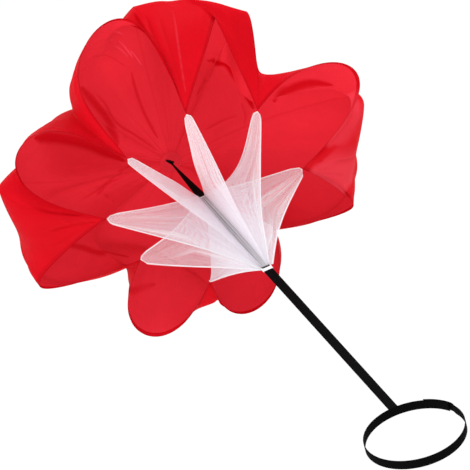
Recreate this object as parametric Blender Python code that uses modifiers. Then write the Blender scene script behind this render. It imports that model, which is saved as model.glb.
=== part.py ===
"""Speed parachute for resistance running, in its inflated shape.

The origin is the centre of the waist belt, +Z is up, and the runner faces -Y.
The tow strap runs back along +Y to the crown of an eight-gore canopy, and
eight mesh vanes tie the strap to the corners of the canopy's mouth.
"""

import math

import bmesh
import bpy
import numpy as np

# Webbing of the belt and the strap
WEBBING_WIDTH = 0.025
WEBBING_THICKNESS = 0.0016
FIT_GAP = 0.0003

# Waist belt: a ring of webbing, closed by an overlapping tail with hook and loop tapes
BELT_RADIUS = 0.126
BELT_START_DEG = 24.0
BELT_SWEEP_DEG = 348.0
TAIL_LENGTH = 0.100
TAIL_RAMP_LENGTH = 0.022
TAPE_LENGTH = 0.060
TAPE_WIDTH = 0.020
TAPE_THICKNESS = 0.0008
TAPE_MARGIN = 0.006

# Tow strap: sewn to the back of the belt, through the neck sleeve, up to the crown
TOW_RUN = 0.823
STRAP_TO_CROWN = 0.654
FOLD_HEIGHT = 0.009
BELT_TAB_HEIGHT = 0.018
TWIST_LENGTH = 0.170
TWIST_DEG = -67.0
CROWN_TAB_LENGTH = 0.033
CROWN_TAB_WIDTH = 0.010
CROWN_TAB_OFFSET = 0.009
CROWN_TAB_DEG = 135.0

# Neck sleeve: the hemmed front end of the mesh, sewn round the strap
SLEEVE_LENGTH = 0.022
SLEEVE_WALL = 0.0012

# Mesh vanes: eight flat panels in planes through the strap, sewn to a mesh sleeve round it
COVER_LENGTH = 0.430
COVER_WALL = 0.0006
VANE_THICKNESS = 0.0008
VANE_LENGTH = 0.505
VANE_NECK_HEIGHT = 0.009
VANE_TIP_WIDTH = 0.019
VANE_FRONT_SAG = 0.020
VANE_FRONT_SAG_SHARES = (0.85, 0.80, 0.0, 0.10, 0.65, 0.0, 0.40, 0.50)
VANE_BACK_SAG = 0.026
VANE_BACK_SAG_SHARES = (0.20, 3.00, 0.35, 0.90, 0.45, 1.00, 0.0, 0.30)

# Canopy: eight gores, one between each two corners of the mouth
CANOPY_THICKNESS = 0.0012
CORNER_RADIUS = 0.255
CORNER_RADIUS_SHARES = (1.10, 1.06, 0.96, 0.985, 1.055, 0.91, 0.99, 0.97)
CORNER_ANGLES_DEG = (-6.7, 41.7, 85.5, 131.1, 168.8, 210.1, 262.0, 312.0)
SEAM_GAP = 0.0004

# Rims: each gore's free edge is a loop between two corners, blown out and back
RIM_REACH = 0.475
RIM_REACH_SHARES = (1.08, 0.87, 1.05, 1.03, 1.00, 0.96, 0.99, 1.07)
RIM_SETBACK = 0.120
RIM_SETBACK_SHARES = (0.06, 1.84, 1.37, 1.02, 1.21, 0.93, 0.90, 0.91)
RIM_LEAN_DEG = (4.9, -4.5, -5.0, -3.1, 11.1, 4.7, -4.1, -7.3)
RIM_SPREAD_SHARES = (0.25, -0.82, 0.78, 0.63, -0.31, -0.03, -0.18, -0.51)
RIM_ROUNDNESS_SHARES = (0.91, 1.00, 0.73, 0.87, 1.03, 0.65, 0.50, 0.99)
RIM_SKEW_SHARES = (-0.21, 0.0, -0.09, 0.04, 0.04, 0.03, 0.04, -0.03)

# Belly: the widest ring of the canopy, drawn in at some seams
BELLY_RADIUS = 0.440
BELLY_SEAM_SHARES = (1.155, 1.04, 1.08, 0.76, 1.14, 0.66, 0.84, 0.645)
BELLY_MIDDLE_SHARES = (0.605, 0.99, 0.888, 0.89, 1.0, 0.61, 0.94, 1.152)
BELLY_SEAM_DEPTH = 0.160
BELLY_SEAM_DEPTH_SHARES = (0.83, 1.25, 1.4, 1.18, 1.03, 1.03, 0.96, 0.91)
BELLY_SEAM_LEAN_DEG = (9.0, 8.0, 3.0, 0.0, -8.0, 10.0, 8.0, -1.0)
BELLY_BACK_SHARE = 0.45
SMOOTH_SEAM_SHARES = (1.0, 0.0, 1.0, 0.0, 1.0, 0.0, 0.3, 0.0)
SEAM_RIDGE_SHARES = (1.0, 2.2, 1.0, 1.0, 1.0, 1.0, 1.0, 1.0)

# Back of the canopy, which stands out behind the crown that the strap holds in
BACK_RADIUS = 0.270
BACK_SEAM_DEPTH = 0.290
BACK_SEAM_DEPTH_SHARES = (1.0, 1.0, 1.0, 1.0, 0.80, 0.9, 0.9, 0.9)
BACK_MIDDLE_DEPTH = 0.330

# Front of the canopy, between the belly and the mouth
FAN_RISE = 0.035
FAN_RISE_SHARES = (1.8, 0.2, 1.4, 0.6, 2.1, -0.1, 1.0, 0.3)
FAN_FORWARD = 0.030
MIDDLE_RISE = 0.012

# Main folds of the cloth, which run from the crown to the rim
FOLD_DEPTH = 0.004
FOLDS_PER_GORE = 3

# Crown patch, where the gores and the strap's end meet
CROWN_HOLE_RADIUS = 0.012
PATCH_RADIUS = 0.030
PATCH_THICKNESS = 0.0010

# How finely the shapes are divided
CORNERS = 8
GORE_COLUMNS = 14
GORE_ROWS_PER_SPAN = 3
BELT_STEPS = 96
TAIL_STEPS = 20
STRAP_STEPS = 12
TWIST_STEPS = 22
HEM_STEPS = 10
PATCH_SIDES = 32

# Places that follow from the sizes above
BELT_OUTER_RADIUS = BELT_RADIUS + WEBBING_THICKNESS / 2
TAB_RADIUS = BELT_OUTER_RADIUS + FIT_GAP + WEBBING_THICKNESS / 2
FOLD_Y = TAB_RADIUS + WEBBING_THICKNESS / 2 + FIT_GAP / 2
NECK_Y = BELT_RADIUS + TOW_RUN
CROWN_Y = NECK_Y + STRAP_TO_CROWN
MOUTH_Y = NECK_Y + math.sqrt(VANE_LENGTH**2 - CORNER_RADIUS**2)
TAIL_RADIUS = (
    BELT_OUTER_RADIUS + 3 * FIT_GAP + 2 * TAPE_THICKNESS + WEBBING_THICKNESS / 2
)


def clear_scene():
    for old in list(bpy.data.objects):
        bpy.data.objects.remove(old, do_unlink=True)


def make_material(name, color, roughness, metallic=0.0):
    material = bpy.data.materials.new(name)
    material.use_nodes = True
    shader = material.node_tree.nodes["Principled BSDF"]
    shader.inputs["Base Color"].default_value = (*color, 1.0)
    shader.inputs["Roughness"].default_value = roughness
    shader.inputs["Metallic"].default_value = metallic
    material.diffuse_color = (*color, 1.0)
    return material


def add_object(name, data, material, collection, parent=None):
    item = bpy.data.objects.new(name, data)
    data.materials.append(material)
    collection.objects.link(item)
    item.parent = parent
    return item


def add_pivot(name, location, collection):
    pivot = bpy.data.objects.new(name, None)
    pivot.location = location
    pivot.empty_display_size = WEBBING_WIDTH
    collection.objects.link(pivot)
    return pivot


def add_solidify(item, thickness):
    solidify = item.modifiers.new("Thickness", "SOLIDIFY")
    solidify.thickness = thickness
    solidify.offset = 0.0
    return solidify


def mesh_from_grid(name, points):
    """Open surface through a grid of points, given as rows of columns."""
    rows = len(points)
    columns = len(points[0])
    shape = bmesh.new()
    grid = [[shape.verts.new(tuple(point)) for point in row] for row in points]
    for i in range(rows - 1):
        for j in range(columns - 1):
            corners = (grid[i][j], grid[i + 1][j], grid[i + 1][j + 1], grid[i][j + 1])
            shape.faces.new(corners)
    mesh = bpy.data.meshes.new(name)
    shape.to_mesh(mesh)
    shape.free()
    return mesh


def arc_band(name, radius, width, sweep_deg, steps):
    """Upright band of webbing: a vertical edge turned round the belt's axis."""
    mesh = bpy.data.meshes.new(name)
    top = (radius, 0.0, width / 2)
    bottom = (radius, 0.0, -width / 2)
    mesh.from_pydata([top, bottom], [(0, 1)], [])
    return mesh, sweep_deg, steps


def add_turned_band(
    name, radius, width, start_deg, sweep_deg, steps, thickness, material, collection, parent=None
):
    mesh, sweep, count = arc_band(name, radius, width, sweep_deg, steps)
    item = add_object(name, mesh, material, collection, parent)
    item.rotation_euler.z = math.radians(start_deg)
    screw = item.modifiers.new("Turn", "SCREW")
    screw.angle = math.radians(sweep)
    screw.steps = count
    screw.render_steps = count
    screw.use_merge_vertices = False
    screw.merge_threshold = 0.00001
    add_solidify(item, thickness)
    return item


def degrees_of_arc(length, radius):
    return math.degrees(length / radius)


def make_belt(collection, webbing):
    return add_turned_band(
        "belt_webbing",
        BELT_RADIUS,
        WEBBING_WIDTH,
        BELT_START_DEG,
        BELT_SWEEP_DEG,
        BELT_STEPS,
        WEBBING_THICKNESS,
        webbing,
        collection,
    )


def tail_start_deg():
    """The tail starts where the belt's ring ends, past a fitting gap."""
    return BELT_START_DEG + BELT_SWEEP_DEG - 360.0 + degrees_of_arc(FIT_GAP, BELT_RADIUS)


def tape_start_deg():
    return BELT_START_DEG + degrees_of_arc(TAPE_MARGIN, BELT_RADIUS)


def make_loop_tape(collection, tape):
    """Soft loop tape, sewn on the outside of the belt under its tail."""
    radius = BELT_OUTER_RADIUS + FIT_GAP + TAPE_THICKNESS / 2
    sweep = degrees_of_arc(TAPE_LENGTH, radius)
    return add_turned_band(
        "belt_loop_tape",
        radius,
        TAPE_WIDTH,
        tape_start_deg(),
        sweep,
        TAIL_STEPS,
        TAPE_THICKNESS,
        tape,
        collection,
    )


def tail_pivot_location():
    """The tail peels about the outer face of the belt's end."""
    angle = math.radians(tail_start_deg())
    return (BELT_OUTER_RADIUS * math.cos(angle), BELT_OUTER_RADIUS * math.sin(angle), 0.0)


def make_tail(collection, webbing, pivot):
    """Tail of the belt: it steps out over the belt's other end and lies on the tapes."""
    sweep = degrees_of_arc(TAIL_LENGTH, TAIL_RADIUS)
    ramp = degrees_of_arc(TAIL_RAMP_LENGTH, TAIL_RADIUS)
    rows = []
    for i in range(TAIL_STEPS + 1):
        turn = sweep * i / TAIL_STEPS
        share = min(1.0, turn / ramp)
        ease = share * share * (3 - 2 * share)
        radius = BELT_RADIUS + (TAIL_RADIUS - BELT_RADIUS) * ease
        angle = math.radians(tail_start_deg() + turn)
        x = radius * math.cos(angle) - pivot.location.x
        y = radius * math.sin(angle) - pivot.location.y
        rows.append([(x, y, -WEBBING_WIDTH / 2), (x, y, WEBBING_WIDTH / 2)])
    mesh = mesh_from_grid("belt_tail", rows)
    item = add_object("belt_tail", mesh, webbing, collection, pivot)
    add_solidify(item, WEBBING_THICKNESS)
    return item


def make_hook_tape(collection, tape, pivot):
    """Stiff hook tape, sewn on the inside of the tail."""
    radius = TAIL_RADIUS - WEBBING_THICKNESS / 2 - FIT_GAP - TAPE_THICKNESS / 2
    sweep = degrees_of_arc(TAPE_LENGTH, radius)
    item = add_turned_band(
        "belt_hook_tape",
        radius,
        TAPE_WIDTH,
        tape_start_deg(),
        sweep,
        TAIL_STEPS,
        TAPE_THICKNESS,
        tape,
        collection,
        pivot,
    )
    item.location = (-pivot.location.x, -pivot.location.y, 0.0)
    return item


def make_belt_tab(collection, webbing):
    """The strap's end, folded down and sewn flat on the back of the belt."""
    sweep = degrees_of_arc(WEBBING_WIDTH, TAB_RADIUS)
    item = add_turned_band(
        "strap_belt_tab",
        TAB_RADIUS,
        BELT_TAB_HEIGHT,
        90.0 - sweep / 2,
        sweep,
        HEM_STEPS,
        WEBBING_THICKNESS,
        webbing,
        collection,
    )
    item.location.z = FOLD_HEIGHT + WEBBING_THICKNESS / 2 - BELT_TAB_HEIGHT / 2
    return item


def crown_tab_front_y():
    return patch_front_y() - FIT_GAP - WEBBING_THICKNESS


def make_tow_strap(collection, webbing, pivot):
    """One flat strap from the belt to the crown, twisted over its last stretch."""
    start = FOLD_Y + FIT_GAP / 2
    end = crown_tab_front_y() - FIT_GAP
    twist_start = end - TWIST_LENGTH
    stations = [start + (twist_start - start) * i / STRAP_STEPS for i in range(STRAP_STEPS)]
    stations += [twist_start + TWIST_LENGTH * i / TWIST_STEPS for i in range(TWIST_STEPS + 1)]
    rows = []
    for y in stations:
        share = max(0.0, (y - twist_start) / TWIST_LENGTH)
        angle = math.radians(TWIST_DEG) * share * share * (3 - 2 * share)
        row = []
        for side in (-1, 0, 1):
            reach = side * WEBBING_WIDTH / 2
            row.append((reach * math.cos(angle), y - pivot.location.y, reach * math.sin(angle)))
        rows.append(row)
    mesh = mesh_from_grid("tow_strap", rows)
    item = add_object("tow_strap", mesh, webbing, collection, pivot)
    item.location.z = FOLD_HEIGHT - pivot.location.z
    add_solidify(item, WEBBING_THICKNESS)
    return item


def rounded_outline(half_width, half_height, corner, steps=4):
    points = []
    centres = (
        (half_width - corner, half_height - corner, 0),
        (corner - half_width, half_height - corner, 90),
        (corner - half_width, corner - half_height, 180),
        (half_width - corner, corner - half_height, 270),
    )
    for x, z, first in centres:
        for i in range(steps + 1):
            angle = math.radians(first + 90.0 * i / steps)
            points.append((x + corner * math.cos(angle), z + corner * math.sin(angle)))
    return points


def flat_curve(name, outlines, depth):
    """Flat outline with holes, filled and given a thickness across its plane."""
    curve = bpy.data.curves.new(name, "CURVE")
    curve.dimensions = "2D"
    curve.fill_mode = "BOTH"
    curve.extrude = depth / 2
    for outline in outlines:
        spline = curve.splines.new("POLY")
        spline.points.add(len(outline) - 1)
        for point, (x, y) in zip(spline.points, outline):
            point.co = (x, y, 0.0, 1.0)
        spline.use_cyclic_u = True
    return curve


def make_sleeve(name, wall, front, length, collection, mesh_cloth, pivot):
    """Flat sleeve round the strap, with the same inside for both of its kinds."""
    half_width = WEBBING_WIDTH / 2 + FIT_GAP
    half_height = WEBBING_THICKNESS / 2 + FIT_GAP
    inner = rounded_outline(half_width, half_height, half_height / 2)
    outer = rounded_outline(half_width + wall, half_height + wall, half_height)
    curve = flat_curve(name, (outer, inner), length)
    item = add_object(name, curve, mesh_cloth, collection, pivot)
    item.rotation_euler.x = math.radians(90)
    item.location = (0.0, front + length / 2 - pivot.location.y, FOLD_HEIGHT - pivot.location.z)
    return item


def make_neck_sleeve(collection, mesh_cloth, pivot):
    """Thick hemmed end of the sleeve, through which the strap leaves."""
    front = NECK_Y - SLEEVE_LENGTH
    return make_sleeve("neck_sleeve", SLEEVE_WALL, front, SLEEVE_LENGTH, collection, mesh_cloth, pivot)


def make_strap_cover(collection, mesh_cloth, pivot):
    """Mesh sleeve round the strap, which carries the inner edges of all the vanes."""
    length = COVER_LENGTH - FIT_GAP
    return make_sleeve("strap_cover", COVER_WALL, NECK_Y + FIT_GAP, length, collection, mesh_cloth, pivot)


def strap_clearance(angle):
    """Least distance from the strap's axis to a vane that stands at this angle."""
    across = abs(math.sin(angle))
    along = abs(math.cos(angle))
    cover = 2 * FIT_GAP + COVER_WALL
    face = WEBBING_THICKNESS / 2 + cover + VANE_THICKNESS / 2 * along
    edge = WEBBING_WIDTH / 2 + cover + VANE_THICKNESS / 2 * across
    nearest = min(face / max(across, 0.001), edge / max(along, 0.001))
    neighbour = 2 * (VANE_THICKNESS + FIT_GAP)
    return max(nearest, neighbour)


def corner_radius(corner):
    return CORNER_RADIUS * CORNER_RADIUS_SHARES[corner % CORNERS]


def corner_angle(corner):
    return math.radians(CORNER_ANGLES_DEG[corner % CORNERS])


def corner_y(corner):
    """All vanes are equally long, so a corner further out lies further forward."""
    return NECK_Y + math.sqrt(VANE_LENGTH**2 - corner_radius(corner) ** 2)


def hem(start, end, sag, peak):
    """Points of a hem that sags sideways from the line between its ends."""
    along = (end[0] - start[0], end[1] - start[1])
    length = math.hypot(along[0], along[1])
    side = (-along[1] / length, along[0] / length)
    points = []
    for i in range(HEM_STEPS + 1):
        share = i / HEM_STEPS
        bow = sag * math.sin(math.pi * share**peak)
        x = start[0] + along[0] * share + side[0] * bow
        y = start[1] + along[1] * share + side[1] * bow
        points.append((x, y))
    return points


def vane_outline(corner):
    """Outline in the vane's plane: across from the strap's axis, and along it."""
    inner = strap_clearance(corner_angle(corner))
    front = NECK_Y + FIT_GAP
    back = NECK_Y + COVER_LENGTH
    tip = (corner_radius(corner), corner_y(corner))
    middle = (inner, (front + back) / 2)
    reach = math.hypot(tip[0] - middle[0], tip[1] - middle[1])
    along = ((tip[0] - middle[0]) / reach, (tip[1] - middle[1]) / reach)
    seat = CANOPY_THICKNESS / 2 + FIT_GAP
    end = (tip[0] - along[0] * seat, tip[1] - along[1] * seat)
    half = VANE_TIP_WIDTH / 2
    tip_front = (end[0] + along[1] * half, end[1] - along[0] * half)
    tip_back = (end[0] - along[1] * half, end[1] + along[0] * half)
    front_sag = VANE_FRONT_SAG * VANE_FRONT_SAG_SHARES[corner]
    back_sag = VANE_BACK_SAG * VANE_BACK_SAG_SHARES[corner]
    outline = hem((inner + VANE_NECK_HEIGHT, front), tip_front, front_sag, 1.0)
    outline += hem(tip_back, (inner, back), back_sag, 1.15)
    outline.append((inner, front))
    return outline


def make_vane(corner, collection, mesh_cloth, pivot):
    """Flat mesh panel from the strap to one corner of the canopy's mouth."""
    name = f"mesh_vane_{corner + 1}"
    curve = flat_curve(name, (vane_outline(corner),), VANE_THICKNESS)
    item = add_object(name, curve, mesh_cloth, collection, pivot)
    item.rotation_euler.y = -corner_angle(corner)
    item.location = (0.0, -pivot.location.y, FOLD_HEIGHT - pivot.location.z)
    return item


def ring(radius, angle, y):
    """Points round the strap's axis."""
    flat = np.zeros_like(angle)
    return np.stack([radius * np.cos(angle), y + flat, radius * np.sin(angle)], axis=-1)


def gore_angles(gore):
    """Angles of the corners on both sides of a gore, the second one larger."""
    first = corner_angle(gore)
    second = corner_angle(gore + 1)
    if second < first:
        second += 2 * math.pi
    return first, second


def rim_points(gore, across):
    """Free edge of a gore, as a loop from one corner out and back to the next."""
    first, second = gore_angles(gore)
    start = ring(corner_radius(gore), np.array([first]), corner_y(gore))[0]
    end = ring(corner_radius(gore + 1), np.array([second]), corner_y(gore + 1))[0]
    middle = (start + end) / 2
    lean = math.atan2(middle[2], middle[0]) + math.radians(RIM_LEAN_DEG[gore])
    reach = RIM_REACH * RIM_REACH_SHARES[gore]
    y = MOUTH_Y + RIM_SETBACK * RIM_SETBACK_SHARES[gore]
    peak = ring(reach, np.array([lean]), y)[0]
    turn = across * math.pi / 2
    height = np.clip(np.cos(turn), 0.0, 1.0)
    sideways = np.sin(turn) * (1 + RIM_SPREAD_SHARES[gore] * height)
    upward = height ** RIM_ROUNDNESS_SHARES[gore] * (1 + RIM_SKEW_SHARES[gore] * np.sin(turn))
    return middle + np.outer(sideways, (end - start) / 2) + np.outer(upward, peak - middle)


def gore_rings(gore, across):
    """Five lines across the gore: crown, back, belly, shoulder and rim."""
    first, second = gore_angles(gore)
    angle = (first + second) / 2 + (second - first) / 2 * across
    to_next = (1 + across) / 2
    smooth = np.where(across < 0, SMOOTH_SEAM_SHARES[gore], SMOOTH_SEAM_SHARES[(gore + 1) % CORNERS])
    ridge = np.where(across < 0, SEAM_RIDGE_SHARES[gore], SEAM_RIDGE_SHARES[(gore + 1) % CORNERS])
    drawn_in = np.clip(1 - np.abs(across) ** (2.2 * ridge), 0.0, 1.0)
    middle = drawn_in + (np.cos(across * math.pi / 2) ** 2 - drawn_in) * smooth
    fold = FOLD_DEPTH * np.cos(FOLDS_PER_GORE * math.pi * across) * (1 - across**2)

    def at_seams(shares):
        return shares[gore] * (1 - to_next) + shares[(gore + 1) % CORNERS] * to_next

    crown = ring(CROWN_HOLE_RADIUS, angle, CROWN_Y)
    back_seam_depth = BACK_SEAM_DEPTH * at_seams(BACK_SEAM_DEPTH_SHARES)
    back_depth = back_seam_depth + (BACK_MIDDLE_DEPTH - back_seam_depth) * middle + fold
    back = ring(BACK_RADIUS, angle, MOUTH_Y + back_depth)

    seam_radius = BELLY_RADIUS * at_seams(BELLY_SEAM_SHARES)
    middle_radius = BELLY_RADIUS * BELLY_MIDDLE_SHARES[gore]
    seam_depth = BELLY_SEAM_DEPTH * at_seams(BELLY_SEAM_DEPTH_SHARES)
    rim_depth = RIM_SETBACK * RIM_SETBACK_SHARES[gore]
    middle_depth = rim_depth + (BACK_MIDDLE_DEPTH - rim_depth) * BELLY_BACK_SHARE
    belly_radius = seam_radius + (middle_radius - seam_radius) * middle + fold
    belly_angle = angle + np.radians(at_seams(BELLY_SEAM_LEAN_DEG))
    belly_y = MOUTH_Y + seam_depth + (middle_depth - seam_depth) * middle
    belly = ring(belly_radius, belly_angle, belly_y)

    rim = rim_points(gore, across)
    rise = FAN_RISE * at_seams(FAN_RISE_SHARES) * (1 - middle) + MIDDLE_RISE * middle + fold / 2
    forward = np.outer(FAN_FORWARD * (1 - middle), (0.0, 1.0, 0.0))
    shoulder = (belly + rim) / 2 + ring(rise, belly_angle, 0.0) - forward
    return crown, back, belly, shoulder, rim


def smooth_lines(rings, rows_per_span):
    """Smooth lines through the rings, from the crown to the rim."""
    before = 2 * rings[0] - rings[1]
    after = 2 * rings[-1] - rings[-2]
    knots = [before, *rings, after]
    lines = []
    for span in range(len(rings) - 1):
        a, b, c, d = knots[span : span + 4]
        last = span == len(rings) - 2
        for i in range(rows_per_span + (1 if last else 0)):
            t = i / rows_per_span
            straight = 2 * b + (c - a) * t
            bend = (2 * a - 5 * b + 4 * c - d) * t**2
            turn = (3 * b - a - 3 * c + d) * t**3
            lines.append((straight + bend + turn) / 2)
    return np.array(lines)


def surface_normals(grid):
    """Outward normals of a grid whose rows run from the crown to the rim."""
    down = np.gradient(grid, axis=0)
    across = np.gradient(grid, axis=1)
    normals = np.cross(across, down)
    return normals / np.linalg.norm(normals, axis=-1, keepdims=True)


def round_the_axis(line):
    """Directions round the strap's axis at the points of a seam, towards the next gore."""
    turned = np.stack([-line[:, 2], np.zeros(len(line)), line[:, 0]], axis=-1)
    return turned / np.linalg.norm(turned, axis=-1, keepdims=True)


def gore_faces(gore):
    """Outer and inner face of a gore, kept on its own side of both seams."""
    across = np.linspace(-1.0, 1.0, GORE_COLUMNS + 1)
    grid = smooth_lines(gore_rings(gore, across), GORE_ROWS_PER_SPAN)
    normals = surface_normals(grid)
    sides = [round_the_axis(grid[:, 0]), round_the_axis(grid[:, -1])]
    for column, side in zip((0, -1), sides):
        square = np.cross(side, np.gradient(grid[:, column], axis=0))
        normals[:, column] = square / np.linalg.norm(square, axis=-1, keepdims=True)
    near_first = ((1 - across) / 2)[None, :, None] * sides[0][:, None]
    near_second = ((1 + across) / 2)[None, :, None] * sides[1][:, None]
    grid = grid + SEAM_GAP / 2 * (near_first - near_second)
    half = CANOPY_THICKNESS / 2
    return grid + normals * half, grid - normals * half


def shell_mesh(name, outer, inner):
    """Closed shell between two grids of points, lofted because both are free forms."""
    rows, columns = outer.shape[:2]
    shape = bmesh.new()
    top = [[shape.verts.new(point) for point in row] for row in outer]
    low = [[shape.verts.new(point) for point in row] for row in inner]
    for i in range(rows - 1):
        for j in range(columns - 1):
            shape.faces.new((top[i][j], top[i][j + 1], top[i + 1][j + 1], top[i + 1][j]))
            shape.faces.new((low[i][j], low[i + 1][j], low[i + 1][j + 1], low[i][j + 1]))
    for i in range(rows - 1):
        shape.faces.new((top[i][0], top[i + 1][0], low[i + 1][0], low[i][0]))
        shape.faces.new((top[i][-1], low[i][-1], low[i + 1][-1], top[i + 1][-1]))
    for j in range(columns - 1):
        shape.faces.new((top[0][j], low[0][j], low[0][j + 1], top[0][j + 1]))
        shape.faces.new((top[-1][j], top[-1][j + 1], low[-1][j + 1], low[-1][j]))
    bmesh.ops.recalc_face_normals(shape, faces=shape.faces)
    mesh = bpy.data.meshes.new(name)
    shape.to_mesh(mesh)
    shape.free()
    return mesh


def make_gore(gore, collection, canopy_cloth, pivot):
    """One gore of the canopy, from the crown to its rim between two corners."""
    name = f"canopy_gore_{gore + 1}"
    outer, inner = gore_faces(gore)
    item = add_object(name, shell_mesh(name, outer, inner), canopy_cloth, collection, pivot)
    item.location = (0.0, -pivot.location.y, FOLD_HEIGHT - pivot.location.z)
    item.data.shade_smooth()
    item.data.set_sharp_from_angle(angle=math.radians(40))
    return item


def patch_front_y():
    """Front of the crown patch, which lies inside the gores' ends."""
    return CROWN_Y - CANOPY_THICKNESS / 2 - FIT_GAP - PATCH_THICKNESS


def make_crown_patch(collection, canopy_cloth, pivot):
    """Round patch that closes the crown and carries the strap's end."""
    shape = bmesh.new()
    bmesh.ops.create_cone(
        shape,
        cap_ends=True,
        segments=PATCH_SIDES,
        radius1=PATCH_RADIUS,
        radius2=PATCH_RADIUS,
        depth=PATCH_THICKNESS,
    )
    mesh = bpy.data.meshes.new("crown_patch")
    shape.to_mesh(mesh)
    shape.free()
    item = add_object("crown_patch", mesh, canopy_cloth, collection, pivot)
    item.rotation_euler.x = math.radians(90)
    y = patch_front_y() + PATCH_THICKNESS / 2
    item.location = (0.0, y - pivot.location.y, FOLD_HEIGHT - pivot.location.z)
    return item


def make_crown_tab(collection, webbing, pivot):
    """The strap's crown end, folded flat and sewn to the patch."""
    shape = bmesh.new()
    bmesh.ops.create_cube(shape, size=1.0)
    bmesh.ops.scale(shape, vec=(CROWN_TAB_LENGTH, WEBBING_THICKNESS, CROWN_TAB_WIDTH), verts=shape.verts)
    mesh = bpy.data.meshes.new("strap_crown_tab")
    shape.to_mesh(mesh)
    shape.free()
    item = add_object("strap_crown_tab", mesh, webbing, collection, pivot)
    angle = math.radians(CROWN_TAB_DEG)
    item.rotation_euler.y = -angle
    item.location = (
        CROWN_TAB_OFFSET * math.cos(angle),
        crown_tab_front_y() + WEBBING_THICKNESS / 2 - pivot.location.y,
        FOLD_HEIGHT + CROWN_TAB_OFFSET * math.sin(angle) - pivot.location.z,
    )
    return item


def build():
    clear_scene()
    parts = bpy.data.collections.new("speed_parachute")
    bpy.context.scene.collection.children.link(parts)

    webbing = make_material("black_webbing", (0.012, 0.012, 0.013), 0.75)
    tape = make_material("black_tape", (0.018, 0.018, 0.018), 0.95)
    mesh_cloth = make_material("white_mesh", (0.84, 0.82, 0.85), 0.70)
    canopy_cloth = make_material("red_canopy_cloth", (0.75, 0.013, 0.024), 0.55)

    make_belt(parts, webbing)
    make_loop_tape(parts, tape)
    make_belt_tab(parts, webbing)

    tail_pivot = add_pivot("tail_pivot", tail_pivot_location(), parts)
    make_tail(parts, webbing, tail_pivot)
    make_hook_tape(parts, tape, tail_pivot)

    fold_pivot = add_pivot("fold_pivot", (0.0, FOLD_Y, FOLD_HEIGHT + WEBBING_THICKNESS / 2), parts)
    make_tow_strap(parts, webbing, fold_pivot)
    make_neck_sleeve(parts, mesh_cloth, fold_pivot)
    make_strap_cover(parts, mesh_cloth, fold_pivot)
    make_crown_patch(parts, canopy_cloth, fold_pivot)
    make_crown_tab(parts, webbing, fold_pivot)
    for corner in range(CORNERS):
        make_vane(corner, parts, mesh_cloth, fold_pivot)
    for gore in range(CORNERS):
        make_gore(gore, parts, canopy_cloth, fold_pivot)
    bpy.context.view_layer.update()


build()
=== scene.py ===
"""Looks of a speed parachute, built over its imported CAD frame.

The camera looks into the canopy's mouth from above and in front of the belt.
"""

import math

import bmesh
import bpy
import numpy as np
from mathutils import Matrix, Vector, noise


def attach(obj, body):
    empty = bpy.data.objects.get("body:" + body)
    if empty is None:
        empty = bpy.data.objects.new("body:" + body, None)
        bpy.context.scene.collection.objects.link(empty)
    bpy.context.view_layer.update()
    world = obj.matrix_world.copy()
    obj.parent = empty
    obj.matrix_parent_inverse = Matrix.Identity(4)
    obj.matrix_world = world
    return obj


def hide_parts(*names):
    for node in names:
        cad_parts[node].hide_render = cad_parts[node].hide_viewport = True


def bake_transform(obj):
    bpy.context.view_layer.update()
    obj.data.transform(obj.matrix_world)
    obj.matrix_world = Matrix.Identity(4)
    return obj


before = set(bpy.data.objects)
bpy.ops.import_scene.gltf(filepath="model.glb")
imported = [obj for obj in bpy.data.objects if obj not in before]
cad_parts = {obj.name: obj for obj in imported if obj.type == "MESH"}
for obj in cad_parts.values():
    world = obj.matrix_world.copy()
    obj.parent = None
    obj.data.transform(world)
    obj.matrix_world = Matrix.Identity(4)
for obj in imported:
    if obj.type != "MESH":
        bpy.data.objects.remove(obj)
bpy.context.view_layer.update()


# Camera
# A long lens from above and to the left, rolled so that the strap runs down to the right.

view_back = Vector((-0.2201, -0.8273, 0.5168)).normalized()
view_right = Vector((0.9000, -0.3765, -0.2196))
view_right = (view_right - view_right.dot(view_back) * view_back).normalized()
view_up = view_back.cross(view_right)
camera_distance = 15.0
camera_left = 0.4362
camera_rise = 0.4830
focal_pixels = 6195.0
photo_pixels = 470.0

camera_data = bpy.data.cameras.new("photo_camera")
camera_data.sensor_width = 36.0
camera_data.lens = focal_pixels / photo_pixels * camera_data.sensor_width
camera_data.clip_end = 100.0
camera = bpy.data.objects.new("photo_camera", camera_data)
bpy.context.scene.collection.objects.link(camera)
camera_pose = Matrix((view_right, view_up, view_back)).transposed().to_4x4()
camera_place = view_back * camera_distance - view_right * camera_left + view_up * camera_rise
camera_pose.translation = camera_place
camera.matrix_world = camera_pose
bpy.context.scene.camera = camera
bpy.context.scene.view_settings.view_transform = "Standard"


# Floor and light
# A plain white floor well below the parachute, a white sky, and wide soft lamps.

FLOOR_DROP = 1.20
FLOOR_SIZE = 30.0
FLOOR_GLOW_SHARE = 0.90
SKY_STRENGTH = 0.76
WHITE = (1.0, 1.0, 1.0, 1.0)


class Shade:
    """Output of a shader node, so that sums of outputs are written as plain sums."""

    def __init__(self, output):
        self.output = output

    def math(self, operation, *others):
        return math_node(self.output.id_data, operation, self, *others)

    def __add__(self, other):
        return self.math("ADD", other)

    def __sub__(self, other):
        return self.math("SUBTRACT", other)

    def __mul__(self, other):
        return self.math("MULTIPLY", other)

    def __truediv__(self, other):
        return self.math("DIVIDE", other)

    def __or__(self, other):
        """The larger of two masks."""
        return self.math("MAXIMUM", other)


def feed(socket, value):
    """Links an output to an input socket, or sets a plain value on it."""
    if isinstance(value, Shade):
        socket.id_data.links.new(value.output, socket)
    else:
        socket.default_value = value


def math_node(tree, operation, *values):
    """Math node on outputs or plain numbers."""
    node = tree.nodes.new("ShaderNodeMath")
    node.operation = operation
    for socket, value in zip(node.inputs, values):
        feed(socket, value)
    return Shade(node.outputs[0])


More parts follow.
